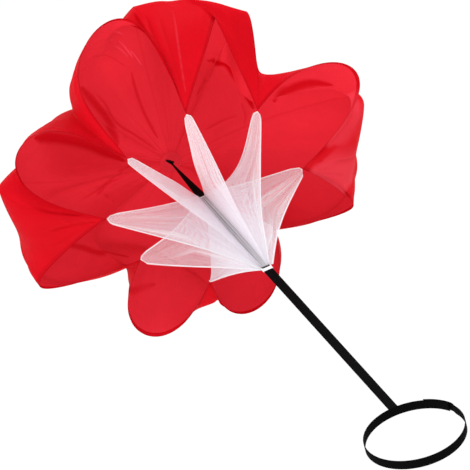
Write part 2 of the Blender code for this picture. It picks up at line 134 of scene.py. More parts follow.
def add_node(tree, kind, settings=None, **more):
    """Adds a node, with its own settings and its inputs given by name."""
    node = tree.nodes.new(kind)
    for key, value in {**(settings or {}), **more}.items():
        if isinstance(key, str) and hasattr(node, key):
            setattr(node, key, value)
        else:
            feed(node.inputs[key], value)
    return node


def output_of(tree, kind, settings=None, **more):
    """First output of an added node."""
    return Shade(add_node(tree, kind, settings, **more).outputs[0])


def mix_shaders(tree, share, first, second):
    return output_of(tree, "ShaderNodeMixShader", {0: share, 1: first, 2: second})


floor_mesh = bpy.data.meshes.new("floor")
floor_shape = bmesh.new()
bmesh.ops.create_grid(floor_shape, x_segments=1, y_segments=1, size=FLOOR_SIZE)
floor_shape.to_mesh(floor_mesh)
floor_shape.free()
floor = bpy.data.objects.new("floor", floor_mesh)
floor.location.z = -FLOOR_DROP
bpy.context.scene.collection.objects.link(floor)

floor_paint = bpy.data.materials.new("white_floor")
floor_paint.use_nodes = True
tree = floor_paint.node_tree
tree.nodes.clear()
paint = output_of(tree, "ShaderNodeBsdfDiffuse", Color=(0.86, 0.86, 0.86, 1.0))
glow = output_of(tree, "ShaderNodeEmission", Color=WHITE, Strength=1.0)
rays = add_node(tree, "ShaderNodeLightPath").outputs
seen = Shade(rays["Is Camera Ray"]) | Shade(rays["Is Glossy Ray"]) | Shade(rays["Is Transmission Ray"])
both = mix_shaders(tree, seen * FLOOR_GLOW_SHARE, paint, glow)
add_node(tree, "ShaderNodeOutputMaterial", Surface=both)
floor_mesh.materials.append(floor_paint)

world = bpy.data.worlds.new("white_sky")
world.use_nodes = True
world.node_tree.nodes["Background"].inputs["Color"].default_value = WHITE
world.node_tree.nodes["Background"].inputs["Strength"].default_value = SKY_STRENGTH
bpy.context.scene.world = world


def add_lamp(name, place, target, size, power):
    """Square soft lamp that faces a point."""
    data = bpy.data.lights.new(name, "AREA")
    data.shape = "SQUARE"
    data.size = size
    data.energy = power
    lamp = bpy.data.objects.new(name, data)
    lamp.location = place
    lamp.rotation_euler = (Vector(target) - Vector(place)).to_track_quat("-Z", "Y").to_euler()
    bpy.context.scene.collection.objects.link(lamp)


add_lamp("front_lamp", (-1.2, -3.2, 2.6), (0.0, 1.2, 0.0), 2.5, 92.0)
add_lamp("right_lamp", (3.4, 2.2, 2.4), (0.0, 1.5, 0.0), 2.0, 105.0)
add_lamp("back_lamp", (-0.6, 4.8, 1.6), (0.0, 1.6, 0.0), 2.4, 45.0)
add_lamp("left_lamp", (-3.4, 0.6, 2.2), (0.0, 1.5, 0.0), 2.4, 62.0)


# Belt and strap webbing
# Black woven polyester webbing, 25 mm wide and 1.6 mm thick, with ribbed faces and rounded selvedges.

WEBBING_WIDTH = 0.025
WEBBING_THICKNESS = 0.0016
RIB_WIDTH = 0.0021
PICK_LENGTH = 0.0012
FIT_GAP = 0.0003
BELT_RADIUS = 0.126
BELT_START_DEG = 24.0
BELT_SWEEP_DEG = 348.0
BELT_STEPS = 174
BELT_OUTER_RADIUS = BELT_RADIUS + WEBBING_THICKNESS / 2
UP = (0.0, 0.0, 1.0)


def new_group(name, given, results):
    """Empty node group, with the shades of its inputs and its end. An input without a value is a vector."""
    group = bpy.data.node_groups.new(name, "ShaderNodeTree")
    for socket, value in given.items():
        kind = "NodeSocketVector" if value is None else "NodeSocketFloat"
        made = group.interface.new_socket(name=socket, in_out="INPUT", socket_type=kind)
        if value is not None:
            made.default_value = value
    for socket in results:
        group.interface.new_socket(name=socket, in_out="OUTPUT", socket_type="NodeSocketFloat")
    start = group.nodes.new("NodeGroupInput")
    return group, shades_of(start), group.nodes.new("NodeGroupOutput")


def shades_of(node):
    """Outputs of a node by name."""
    return {output.name: Shade(output) for output in node.outputs}


def use_group(tree, group, settings):
    """Outputs, by name, of a group that is used in a material."""
    node = tree.nodes.new("ShaderNodeGroup")
    node.node_tree = group
    for key, value in settings.items():
        feed(node.inputs[key], value)
    return shades_of(node)


def new_material(name, settings):
    """Material whose main shader has these settings, with its tree and that shader."""
    material = bpy.data.materials.new(name)
    material.use_nodes = True
    shader = material.node_tree.nodes["Principled BSDF"]
    for key, value in settings.items():
        shader.inputs[key].default_value = value
    return material, material.node_tree, shader


def cloth_map_of(tree, layer="cloth"):
    return output_of(tree, "ShaderNodeUVMap", uv_map=layer)


def split(tree, vector):
    """The numbers of a vector."""
    return [Shade(output) for output in add_node(tree, "ShaderNodeSeparateXYZ", Vector=vector).outputs]


def ramp(tree, value, low, high, first=0.0, last=1.0):
    """Colour that runs from low to high while the value runs from first to last."""
    node = add_node(tree, "ShaderNodeValToRGB", {0: value})
    for element, color, position in zip(node.color_ramp.elements, (low, high), (first, last)):
        element.color = (*color, 1.0)
        element.position = position
    return Shade(node.outputs[0])


def noise_of(tree, place, **settings):
    return output_of(tree, "ShaderNodeTexNoise", Vector=place, **settings)


def bump(tree, height, strength, distance, **more):
    """Normal of a surface that this height raises."""
    return output_of(tree, "ShaderNodeBump", Height=height, Strength=strength, Distance=distance, **more)


# Ribs run along the webbing, and the picks slant across each rib in turn.
webbing_weave, given, end = new_group(
    "webbing_weave",
    {"Place": None, "Rib Width": RIB_WIDTH, "Pick Length": PICK_LENGTH},
    ("Height", "Shade"),
)
parts = split(webbing_weave, given["Place"])
across_rib = (parts[0] / given["Rib Width"]).math("PINGPONG", 0.5)
picks = parts[1] / given["Pick Length"] + across_rib * 1.5
height = (picks * (2 * math.pi)).math("SINE") * 0.35 + (across_rib * (2 * math.pi)).math("SINE")
fluff = noise_of(webbing_weave, given["Place"], Scale=900.0, Detail=3.0)
feed(end.inputs["Height"], height)
feed(end.inputs["Shade"], height * 0.25 + fluff * 0.6)


def woven_material(name, settings, rib_width, pick_length, colors, positions, relief):
    """Webbing or tape of a ribbed weave, dyed between two colours."""
    material, tree, shader = new_material(name, settings)
    sizes = {"Place": cloth_map_of(tree), "Rib Width": rib_width, "Pick Length": pick_length}
    weave = use_group(tree, webbing_weave, sizes)
    feed(shader.inputs["Base Color"], ramp(tree, weave["Shade"], *colors, *positions))
    feed(shader.inputs["Normal"], bump(tree, weave["Height"], relief, 0.0003))
    return material


black_webbing = woven_material(
    "black_webbing",
    {"Roughness": 0.72, "Specular IOR Level": 0.02},
    RIB_WIDTH,
    PICK_LENGTH,
    ((0.0008, 0.0008, 0.0009), (0.0045, 0.0045, 0.0050)),
    (0.15, 0.85),
    0.55,
)


def strip_section(width, thickness, columns=8):
    """Closed outline of a flat strip with rounded edges, as (across, through) pairs."""
    radius = thickness / 2
    flat = width / 2 - radius
    half = [(flat - 2 * flat * i / columns, radius) for i in range(columns + 1)]
    for turn in (math.pi / 4, math.pi / 2, 3 * math.pi / 4):
        half.append((-flat - radius * math.sin(turn), radius * math.cos(turn)))
    return half + [(-x, -z) for x, z in half]


def add_piece(name, mesh, material):
    """Object of this mesh and material, in the scene."""
    mesh.materials.append(material)
    piece = bpy.data.objects.new(name, mesh)
    bpy.context.scene.collection.objects.link(piece)
    return piece


def piece_of(shape, name, material):
    """Object of a finished bmesh, whose faces are turned outward."""
    bmesh.ops.recalc_face_normals(shape, faces=shape.faces)
    mesh = bpy.data.meshes.new(name)
    shape.to_mesh(mesh)
    shape.free()
    return add_piece(name, mesh, material)


def strip_piece(name, stations, width, thickness, material):
    """Flat strip along stations of (centre, across, through, cup). The cup bows it across its width."""
    outline = strip_section(width, thickness)
    shape = bmesh.new()
    layer = shape.loops.layers.uv.new("cloth")

    def add_face(items):
        face = shape.faces.new([item[0] for item in items])
        for corner, item in zip(face.loops, items):
            corner[layer].uv = item[1:]
        return face

    rings = []
    along = 0.0
    before = Vector(stations[0][0])
    for centre, side, top, cup in stations:
        centre = Vector(centre)
        along += (centre - before).length
        before = centre
        ring = []
        for x, z in outline:
            point = centre + Vector(side) * x + Vector(top) * (z - cup * x * x)
            ring.append((shape.verts.new(point), x, along))
        rings.append(ring)
    for first, second in zip(rings, rings[1:]):
        for i in range(len(outline)):
            j = (i + 1) % len(outline)
            add_face((first[i], first[j], second[j], second[i])).smooth = True
    add_face(rings[0][::-1])
    add_face(rings[-1])
    return piece_of(shape, name, material)


def arc_stations(radius, start_deg, sweep_deg, steps):
    """Stations of an upright strip that runs round the belt's axis."""
    stations = []
    for i in range(steps + 1):
        angle = math.radians(start_deg + sweep_deg * i / steps)
        out = (math.cos(angle), math.sin(angle), 0.0)
        stations.append(((out[0] * radius, out[1] * radius, 0.0), UP, out, 0.0))
    return stations


belt_stations = arc_stations(BELT_RADIUS, BELT_START_DEG, BELT_SWEEP_DEG, BELT_STEPS)
belt = strip_piece("waist_belt", belt_stations, WEBBING_WIDTH, WEBBING_THICKNESS, black_webbing)
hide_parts("belt_webbing")
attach(belt, "belt")


# Belt tail
# The free end of the belt, which steps out over the other end and sticks to it with its tapes.

TAIL_LENGTH = 0.100
TAIL_RAMP_LENGTH = 0.022
TAPE_LENGTH = 0.060
TAPE_WIDTH = 0.020
TAPE_THICKNESS = 0.0008
TAPE_MARGIN = 0.006
TAIL_RADIUS = BELT_OUTER_RADIUS + 3 * FIT_GAP + 2 * TAPE_THICKNESS + WEBBING_THICKNESS / 2
TAIL_STEPS = 60

tail_start = math.radians(BELT_START_DEG + BELT_SWEEP_DEG - 360.0) + FIT_GAP / BELT_RADIUS
tail_sweep = TAIL_LENGTH / TAIL_RADIUS
tail_stations = []
for i in range(TAIL_STEPS + 1):
    turn = tail_sweep * i / TAIL_STEPS
    step = min(1.0, turn / (TAIL_RAMP_LENGTH / TAIL_RADIUS))
    radius = BELT_RADIUS + (TAIL_RADIUS - BELT_RADIUS) * step * step * (3 - 2 * step)
    out = (math.cos(tail_start + turn), math.sin(tail_start + turn), 0.0)
    tail_stations.append(((out[0] * radius, out[1] * radius, 0.0), UP, out, 0.0))
tail = strip_piece("belt_tail_webbing", tail_stations, WEBBING_WIDTH, WEBBING_THICKNESS, black_webbing)
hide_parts("belt_tail")
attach(tail, "tail")


# Hook and loop tapes
# Stiff moulded hooks face the soft brushed loops; both tapes are sewn down along their edges.

TAPE_STEPS = 40


def tape_material(name, scale, depth, low, high):
    """Black tape whose face stands up in small tufts or hooks."""
    settings = {"Roughness": 0.9, "Specular IOR Level": 0.10, "Sheen Weight": 0.02}
    material, tree, shader = new_material(name, settings)
    tufts = output_of(tree, "ShaderNodeTexVoronoi", Vector=cloth_map_of(tree), Scale=scale)
    feed(shader.inputs["Base Color"], ramp(tree, tufts, high, low, 0.0, 0.8))
    height = math_node(tree, "SUBTRACT", 1.0, tufts)
    feed(shader.inputs["Normal"], bump(tree, height, 0.8, depth))
    return material


loop_face = tape_material("loop_tape", 1400.0, 0.0004, (0.003, 0.003, 0.003), (0.014, 0.014, 0.015))
hook_face = tape_material("hook_tape", 750.0, 0.0006, (0.002, 0.002, 0.002), (0.018, 0.018, 0.019))
tape_start = BELT_START_DEG + math.degrees(TAPE_MARGIN / BELT_RADIUS)

loop_radius = BELT_OUTER_RADIUS + FIT_GAP + TAPE_THICKNESS / 2
loop_stations = arc_stations(loop_radius, tape_start, math.degrees(TAPE_LENGTH / loop_radius), TAPE_STEPS)
loop_tape = strip_piece("loop_tape", loop_stations, TAPE_WIDTH, TAPE_THICKNESS, loop_face)
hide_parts("belt_loop_tape")
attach(loop_tape, "belt")

hook_radius = TAIL_RADIUS - WEBBING_THICKNESS / 2 - FIT_GAP - TAPE_THICKNESS / 2
hook_stations = arc_stations(hook_radius, tape_start, math.degrees(TAPE_LENGTH / hook_radius), TAPE_STEPS)
hook_tape = strip_piece("hook_tape", hook_stations, TAPE_WIDTH, TAPE_THICKNESS, hook_face)
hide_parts("belt_hook_tape")
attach(hook_tape, "tail")


# Tow strap
# One length of webbing: sewn down the belt's back, folded out, and turned and gathered at the crown.

TOW_RUN = 0.823
STRAP_TO_CROWN = 0.654
FOLD_HEIGHT = 0.009
BELT_TAB_HEIGHT = 0.018
FOLD_RADIUS = 0.0011
FOLD_STEPS = 8
RUN_STEPS = 120
TWIST_LENGTH = 0.220
TWIST_STEPS = 60
TURNING_SHARE = 0.86
FLAT_VIEW_DEG = 23.06
SEEN_WIDTH_SHARES = (0.92, 0.18)
END_NARROWING = 0.56
CANOPY_THICKNESS = 0.0012
PATCH_THICKNESS = 0.0010
NECK_Y = BELT_RADIUS + TOW_RUN
CROWN_Y = NECK_Y + STRAP_TO_CROWN
TAB_RADIUS = BELT_OUTER_RADIUS + FIT_GAP + WEBBING_THICKNESS / 2
CROWN_TAB_Y = CROWN_Y - CANOPY_THICKNESS / 2 - PATCH_THICKNESS - 2 * FIT_GAP - WEBBING_THICKNESS / 2
STRAP_END = CROWN_TAB_Y - WEBBING_THICKNESS / 2 - FIT_GAP
SIDEWAYS = (1.0, 0.0, 0.0)

tab_top = FOLD_HEIGHT - FOLD_RADIUS
tab_bottom = FOLD_HEIGHT + WEBBING_THICKNESS / 2 - BELT_TAB_HEIGHT
bow = 1 / (2 * TAB_RADIUS)
strap_stations = []
for i in range(FOLD_STEPS + 1):
    z = tab_bottom + (tab_top - tab_bottom) * i / FOLD_STEPS
    strap_stations.append(((0.0, TAB_RADIUS, z), SIDEWAYS, (0.0, 1.0, 0.0), bow))
for i in range(1, FOLD_STEPS):
    turn = math.pi / 2 * i / FOLD_STEPS
    centre = (0.0, TAB_RADIUS + FOLD_RADIUS * (1 - math.cos(turn)), tab_top + FOLD_RADIUS * math.sin(turn))
    top = (0.0, math.cos(turn), -math.sin(turn))
    strap_stations.append((centre, SIDEWAYS, top, bow * (1 - i / FOLD_STEPS)))
strap_start = TAB_RADIUS + FOLD_RADIUS
twist_start = STRAP_END - TWIST_LENGTH
for i in range(RUN_STEPS + 1):
    y = strap_start + (twist_start - strap_start) * i / RUN_STEPS
    strap_stations.append(((0.0, y, FOLD_HEIGHT), SIDEWAYS, (0.0, 0.0, -1.0), 0.0))
# The strap turns so that its width, as the camera sees it, tapers evenly from one share to the other.
for i in range(1, TWIST_STEPS + 1):
    share = i / TWIST_STEPS
    first = min(1.0, share / TURNING_SHARE)
    last = max(0.0, (share - TURNING_SHARE) / (1 - TURNING_SHARE))
    seen_width = SEEN_WIDTH_SHARES[0] * (1 - first) + SEEN_WIDTH_SHARES[1] * first
    turn = math.radians(FLAT_VIEW_DEG) - math.acos(seen_width)
    narrow = 1 - END_NARROWING * last
    side = (narrow * math.cos(turn), 0.0, narrow * math.sin(turn))
    top = (math.sin(turn), 0.0, -math.cos(turn))
    strap_stations.append(((0.0, twist_start + TWIST_LENGTH * share, FOLD_HEIGHT), side, top, 0.0))
strap = strip_piece("tow_webbing", strap_stations, WEBBING_WIDTH, WEBBING_THICKNESS, black_webbing)
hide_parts("tow_strap", "strap_belt_tab")
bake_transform(strap)


# Crown end of the strap
# The strap's last 24 mm, folded flat, tapered and sewn to the crown patch.

CROWN_TAB_LENGTH = 0.024
CROWN_TAB_WIDTH = 0.010
CROWN_TAB_OFFSET = 0.0045
CROWN_TAB_DEG = 135.0
CROWN_TAB_TAPER = 0.55
CROWN_TAB_STEPS = 12

crown_tab_angle = math.radians(CROWN_TAB_DEG)
crown_tab_out = Vector((math.cos(crown_tab_angle), 0.0, math.sin(crown_tab_angle)))
crown_tab_side = Vector((-math.sin(crown_tab_angle), 0.0, math.cos(crown_tab_angle)))
FORWARD = (0.0, -1.0, 0.0)


def crown_tab_width(x):
    """Share of the full width at a distance from the tab's middle."""
    return 1 - CROWN_TAB_TAPER * (x / CROWN_TAB_LENGTH + 0.5) ** 2


crown_tab_stations = []
for i in range(CROWN_TAB_STEPS + 1):
    x = CROWN_TAB_LENGTH * (i / CROWN_TAB_STEPS - 0.5)
    centre = Vector((0.0, CROWN_TAB_Y, FOLD_HEIGHT)) + crown_tab_out * (CROWN_TAB_OFFSET + x)
    crown_tab_stations.append((centre, crown_tab_side * crown_tab_width(x), FORWARD, 0.0))
crown_tab_size = (CROWN_TAB_WIDTH, WEBBING_THICKNESS)
crown_tab = strip_piece("crown_tab_webbing", crown_tab_stations, *crown_tab_size, black_webbing)
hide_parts("strap_crown_tab")
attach(crown_tab, "chute")


# Thread
# Black bonded thread: a crossed box on the belt's back and on the crown tab, and rows on the tapes.

THREAD_RADIUS = 0.00028
STITCH_LENGTH = 0.0030
STITCH_GAP = 0.0007
STITCH_FLATNESS = 0.75
STITCH_SIDES = 6
STITCH_SWELLS = ((0.0, 0.35), (0.18, 0.95), (0.5, 1.0), (0.82, 0.95), (1.0, 0.35))
STITCH_LOOK = 0.0004
TAB_EDGE = 0.0025
TAB_LOW_EDGE = 0.0022
TAB_HIGH_EDGE = 0.0028
TAPE_EDGE = 0.0012
TAPE_END_TURN = 0.012  # radians


def thread_material(name, settings, low, high):
    """Twisted thread whose colour varies a little along it."""
    material, tree, shader = new_material(name, settings)
    twist = output_of(tree, "ShaderNodeTexNoise", Scale=1800.0, Detail=2.0)
    feed(shader.inputs["Base Color"], ramp(tree, twist, low, high))
    return material


black_thread = thread_material(
    "black_thread",
    {"Roughness": 0.50, "Specular IOR Level": 0.15},
    (0.004, 0.004, 0.004),
    (0.014, 0.014, 0.015),
)


def stitched_rows(name, rows, material):
    """Rows of single stitches, each a short rounded bar. A row is (points, outward directions)."""
    shape = bmesh.new()
    for points, outs in rows:
        points = [Vector(point) for point in points]
        outs = [Vector(out).normalized() for out in outs]
        steps = [(b - a).length for a, b in zip(points, points[1:])]
        total = sum(steps)
        count = max(1, round(total / (STITCH_LENGTH + STITCH_GAP)))
        pitch = total / count
        stitch = pitch - STITCH_GAP

        def at(distance):
            run = 0.0
            for i, step in enumerate(steps):
                if run + step >= distance or i == len(steps) - 1:
                    share = (distance - run) / step
                    return points[i].lerp(points[i + 1], share), outs[i].lerp(outs[i + 1], share)
                run += step

        for i in range(count):
            rings = []
            for share, swell in STITCH_SWELLS:
                place = i * pitch + STITCH_GAP / 2 + stitch * share
                centre, out = at(place)
                before = at(max(place - STITCH_LOOK, 0.0))[0]
                after = at(min(place + STITCH_LOOK, total))[0]
                side = (after - before).normalized().cross(out).normalized()
                sink = (swell - 1.0) * THREAD_RADIUS * 0.8
                ring = []
                for j in range(STITCH_SIDES):
                    turn = 2 * math.pi * j / STITCH_SIDES
                    rise = sink + THREAD_RADIUS * STITCH_FLATNESS * swell * math.sin(turn)
                    aside = THREAD_RADIUS * swell * math.cos(turn)
                    ring.append(shape.verts.new(centre + out * rise + side * aside))
                rings.append(ring)
            for a, b in zip(rings, rings[1:]):
                for j in range(STITCH_SIDES):
                    k = (j + 1) % STITCH_SIDES
                    shape.faces.new((a[j], a[k], b[k], b[j])).smooth = True
            shape.faces.new(rings[0][::-1])
            shape.faces.new(rings[-1])
    return piece_of(shape, name, material)


def round_row(radius, places):
    """Row of thread through (angle, z) places round the belt's axis."""
    points = [(radius * math.cos(angle), radius * math.sin(angle), z) for angle, z in places]
    return points, [(math.cos(angle), math.sin(angle), 0.0) for angle, z in places]


def between(a, b, steps=6):
    """Evenly spaced places on the line from a to b."""
    return [(a[0] + (b[0] - a[0]) * i / steps, a[1] + (b[1] - a[1]) * i / steps) for i in range(steps + 1)]


def crossed_box(half_x, low_z, high_z):
    """Lines of a sewn box and of its two diagonals, as (x, z) places."""
    corners = [(-half_x, low_z), (half_x, low_z), (half_x, high_z), (-half_x, high_z)]
    ends = ((0, 1), (1, 2), (2, 3), (3, 0), (0, 2), (1, 3))
    return [between(corners[a], corners[b]) for a, b in ends]


stitch_radius = TAB_RADIUS + WEBBING_THICKNESS / 2
tab_rows = []
for line in crossed_box(WEBBING_WIDTH / 2 - TAB_EDGE, tab_bottom + TAB_LOW_EDGE, tab_top - TAB_HIGH_EDGE):
    tab_rows.append(round_row(stitch_radius, [(math.pi / 2 - x / stitch_radius, z) for x, z in line]))
tab_thread = stitched_rows("belt_tab_thread", tab_rows, black_thread)
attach(tab_thread, "belt")

crown_rows = []
crown_face = Vector((0.0, CROWN_TAB_Y - WEBBING_THICKNESS / 2, FOLD_HEIGHT))
half_z = CROWN_TAB_WIDTH / 2 - TAB_LOW_EDGE
for line in crossed_box(CROWN_TAB_LENGTH / 2 - TAB_EDGE, -half_z, half_z):
    places = []
    for x, z in line:
        aside = crown_tab_side * z * crown_tab_width(x)
        places.append(crown_face + crown_tab_out * (CROWN_TAB_OFFSET + x) + aside)
    crown_rows.append((places, [FORWARD] * len(places)))
crown_thread = stitched_rows("crown_tab_thread", crown_rows, black_thread)
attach(crown_thread, "chute")

outer = TAIL_RADIUS + WEBBING_THICKNESS / 2
first = math.radians(tape_start)
last = first + TAPE_LENGTH / hook_radius
edge = TAPE_WIDTH / 2 - TAPE_EDGE
tail_rows = [round_row(outer, between((first, z), (last, z), 30)) for z in (-edge, edge)]
for turn in (first + TAPE_END_TURN, last - TAPE_END_TURN):
    tail_rows.append(round_row(outer, between((turn, -edge), (turn, edge))))
tail_thread = stitched_rows("belt_tail_thread", tail_rows, black_thread)
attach(tail_thread, "tail")


# Mesh cloth
# Fine white knitted mesh, soft and half see-through, with turned hems that show brighter.

HOLE_PITCH = 0.0013
HEM_OUTER = 0.0052
HEM_INNER = 0.0036

mesh_holes, given, end = new_group(
    "mesh_holes",
    {"Place": None, "Hole Pitch": HOLE_PITCH, "Thread Share": 0.4},
    ("Cover", "Height"),
)
cells = output_of(
    mesh_holes,
    "ShaderNodeTexVoronoi",
    feature="DISTANCE_TO_EDGE",
    Randomness=0.25,
    Vector=given["Place"],
    Scale=math_node(mesh_holes, "DIVIDE", 1.0, given["Hole Pitch"]),
)
reach = given["Thread Share"] * 0.36
cover = math_node(mesh_holes, "SUBTRACT", 1.0, (cells - reach) / 0.06)
feed(end.inputs["Cover"], output_of(mesh_holes, "ShaderNodeClamp", Value=cover))
feed(end.inputs["Height"], reach - cells)


def soft_band(tree, value, outer, inner, strength=1.0):
    """Mask that is nothing beyond outer and has its full strength beyond inner."""
    settings = {"interpolation_type": "SMOOTHSTEP", "From Min": outer, "From Max": inner}
    return output_of(tree, "ShaderNodeMapRange", settings | {"To Max": strength, "Value": value})


def streaks_of(tree, across, along, across_scale, along_scale, detail, roughness):
    """Noise that is drawn out along the cloth."""
    place = {0: across * across_scale, 1: along * along_scale}
    place = output_of(tree, "ShaderNodeCombineXYZ", place)
    return noise_of(tree, place, Scale=1.0, Detail=detail, Roughness=roughness)


# Light comes through the mesh, and it looks denser where it is drawn together in soft rays.
mesh_settings = {"Roughness": 0.65, "Specular IOR Level": 0.25, "Sheen Weight": 0.08}
white_mesh, tree, shader = new_material("white_mesh", mesh_settings)
from_hem, from_tip = split(tree, cloth_map_of(tree, "edges"))[:2]
across, thread_share = split(tree, cloth_map_of(tree, "gathers"))[:2]
streaks = streaks_of(tree, across, from_tip, 9.0, 1.6, 3.0, 0.65)
crowding = {"From Min": 0.32, "From Max": 0.68, "To Min": 0.62, "To Max": 1.30, "Value": streaks}
crowding = output_of(tree, "ShaderNodeMapRange", crowding)
hole_sizes = {"Hole Pitch": HOLE_PITCH, "Thread Share": thread_share * crowding}
holes = use_group(tree, mesh_holes, {"Place": cloth_map_of(tree), **hole_sizes})
hem = soft_band(tree, from_hem, HEM_OUTER, HEM_INNER)
rays = streaks_of(tree, across, from_tip, 5.5, 2.4, 2.5, 0.6)
alpha = holes["Cover"] | hem * 0.98 | soft_band(tree, rays, 0.47, 0.70, 0.55)
dye = ramp(tree, rays | hem, (0.80, 0.76, 0.84), (0.93, 0.92, 0.95), 0.30, 0.65)
feed(shader.inputs["Base Color"], dye)
soft = bump(tree, rays * 6.0 + hem, 0.5, 0.0010)
feed(shader.inputs["Normal"], bump(tree, holes["Height"], 0.4, 0.0003, Normal=soft))
glow = output_of(tree, "ShaderNodeBsdfTranslucent", Color=dye, Normal=soft)
yarn = mix_shaders(tree, 0.42, Shade(shader.outputs[0]), glow)
both = mix_shaders(tree, alpha, output_of(tree, "ShaderNodeBsdfTransparent"), yarn)
feed(tree.nodes["Material Output"].inputs["Surface"], both)


def grid_piece(name, points, maps, material, wrap=False):
    """Sheet through a grid of points, with named maps of two numbers at each point."""
    rows, columns = points.shape[:2]
    mesh = bpy.data.meshes.new(name)
    faces = []
    for i in range(rows - 1):
        for j in range(columns if wrap else columns - 1):
            here = i * columns + j
            after = i * columns + (j + 1) % columns
            faces.append((here, after, after + columns, here + columns))
    mesh.from_pydata(points.reshape(-1, 3).tolist(), [], faces)
    order = np.array([loop.vertex_index for loop in mesh.loops])
    for layer_name, values in maps.items():
        layer = mesh.uv_layers.new(name=layer_name)
        layer.data.foreach_set("uv", values.reshape(-1, 2)[order].astype(np.float32).ravel())
    mesh.shade_smooth()
    return add_piece(name, mesh, material)


# Neck sleeve and strap cover
# The mesh starts in a thick turned hem round the strap, and a thin mesh sleeve covers the strap behind it.

SLEEVE_LENGTH = 0.022
SLEEVE_WALL = 0.0012
SLEEVE_STEPS = 16
SLEEVE_SIDES = 48
SLEEVE_ROUNDNESS = 0.45
SLEEVE_ROUND_LENGTH = 0.056
SLEEVE_SEAM = 0.004
SLOT_LENGTH = 0.009
COVER_LENGTH = 0.430
COVER_WALL = 0.0006
COVER_STEPS = 60
SLEEVE_THREAD_SHARES = (0.95, 0.57)

half_width = WEBBING_WIDTH / 2 + FIT_GAP
half_height = WEBBING_THICKNESS / 2 + FIT_GAP


def sleeve_rings(places, swells):
    """Rounded flat rings round the strap, one at each y and that much thicker."""
    rings = []
    for y, more in zip(places, swells):
        ring = []
        for i in range(SLEEVE_SIDES):
            angle = 2 * math.pi * i / SLEEVE_SIDES
            c, s = math.cos(angle), math.sin(angle)
            x = (half_width + more) * math.copysign(abs(c) ** SLEEVE_ROUNDNESS, c)
            z = (half_height + more) * math.copysign(abs(s) ** SLEEVE_ROUNDNESS, s)
            ring.append((x, y, FOLD_HEIGHT + z))
        rings.append(ring)
    return np.array(rings)


def sleeve_maps(rings):
    """Places on the cloth, distances from the ends and gathers, for the rings of a sleeve."""
    columns = rings.shape[1]
    along = rings[:, 0, 1] - rings[0, 0, 1]
    densest, thinnest = SLEEVE_THREAD_SHARES
    share = densest - (densest - thinnest) * along / along[-1]

    def grid_of(over, down):
        return np.stack(np.meshgrid(over, down), axis=-1)

    end = np.repeat(np.minimum(along, along[-1] - along)[:, None], columns, axis=1)
    cloth = grid_of(np.linspace(0.0, SLEEVE_ROUND_LENGTH, columns), along)
    edges = np.stack([end, cloth[..., 1]], axis=-1)
    return {"cloth": cloth, "edges": edges, "gathers": grid_of(np.linspace(0.0, 4.0, columns), share)}


hem_cloth = woven_material(
    "white_hem",
    {"Roughness": 0.7, "Sheen Weight": 0.2},
    0.0009,
    0.0007,
    ((0.74, 0.72, 0.76), (0.92, 0.90, 0.93)),
    (0.0, 1.0),
    0.5,
)

shares = [i / SLEEVE_STEPS for i in range(SLEEVE_STEPS + 1)]
sleeve_y = [NECK_Y - SLEEVE_LENGTH * (1 - share) for share in shares]
swell = [SLEEVE_WALL * (0.55 + 0.45 * min(1.0, 4 * min(share, 1 - share))) for share in shares]
outside = sleeve_rings(sleeve_y, swell)
inside = sleeve_rings(sleeve_y[::-1], [0.0] * len(shares))
sleeve_points = np.concatenate([inside[-1:], outside, inside[:1]])
# The hem's back edge is cut away over the strap, which shows there in a dark slot.
from_front = (sleeve_points[..., 1] - NECK_Y + SLEEVE_LENGTH) / SLEEVE_LENGTH
over_strap = np.clip((sleeve_points[..., 2] - FOLD_HEIGHT) / half_height, 0.0, 1.0)
over_strap *= 1 - np.clip(np.abs(sleeve_points[..., 0]) / half_width, 0.0, 1.0) ** 8
sleeve_points[..., 1] -= SLOT_LENGTH * over_strap * from_front
neck = grid_piece("neck_sleeve_hem", sleeve_points, sleeve_maps(sleeve_points), hem_cloth, wrap=True)
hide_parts("neck_sleeve")
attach(neck, "chute")

steps = range(COVER_STEPS + 1)
cover_y = [NECK_Y + FIT_GAP + (COVER_LENGTH - FIT_GAP) * i / COVER_STEPS for i in steps]
swell = [COVER_WALL * (0.6 + 0.4 * math.sin(i * 2.7) * math.sin(i * 0.9)) for i in steps]
cover_points = sleeve_rings(cover_y, swell)
maps = sleeve_maps(cover_points)
maps["edges"][..., 0] = cover_points[-1, 0, 1] - cover_points[:, :, 1]
cover = grid_piece("strap_cover_mesh", cover_points, maps, white_mesh, wrap=True)
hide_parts("strap_cover")
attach(cover, "chute")

sleeve_rows = []
for y in (NECK_Y - SLEEVE_SEAM, NECK_Y - SLEEVE_LENGTH + SLEEVE_SEAM):
    loop = [tuple(point) for point in sleeve_rings([y], [SLEEVE_WALL])[0]]
    loop.append(loop[0])
    sleeve_rows.append((loop, [(point[0] * 0.1, 0.0, point[2] - FOLD_HEIGHT) for point in loop]))
white_thread = thread_material("white_thread", {"Roughness": 0.5}, (0.72, 0.70, 0.74), (0.95, 0.93, 0.95))
sleeve_thread = stitched_rows("neck_thread", sleeve_rows, white_thread)
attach(sleeve_thread, "chute")


# Mesh vanes
# Eight triangular mesh panels from the strap cover to the corners of the mouth, hemmed front and back.
# Each one twists at its tip, where it is sewn flat to the corner of the canopy.

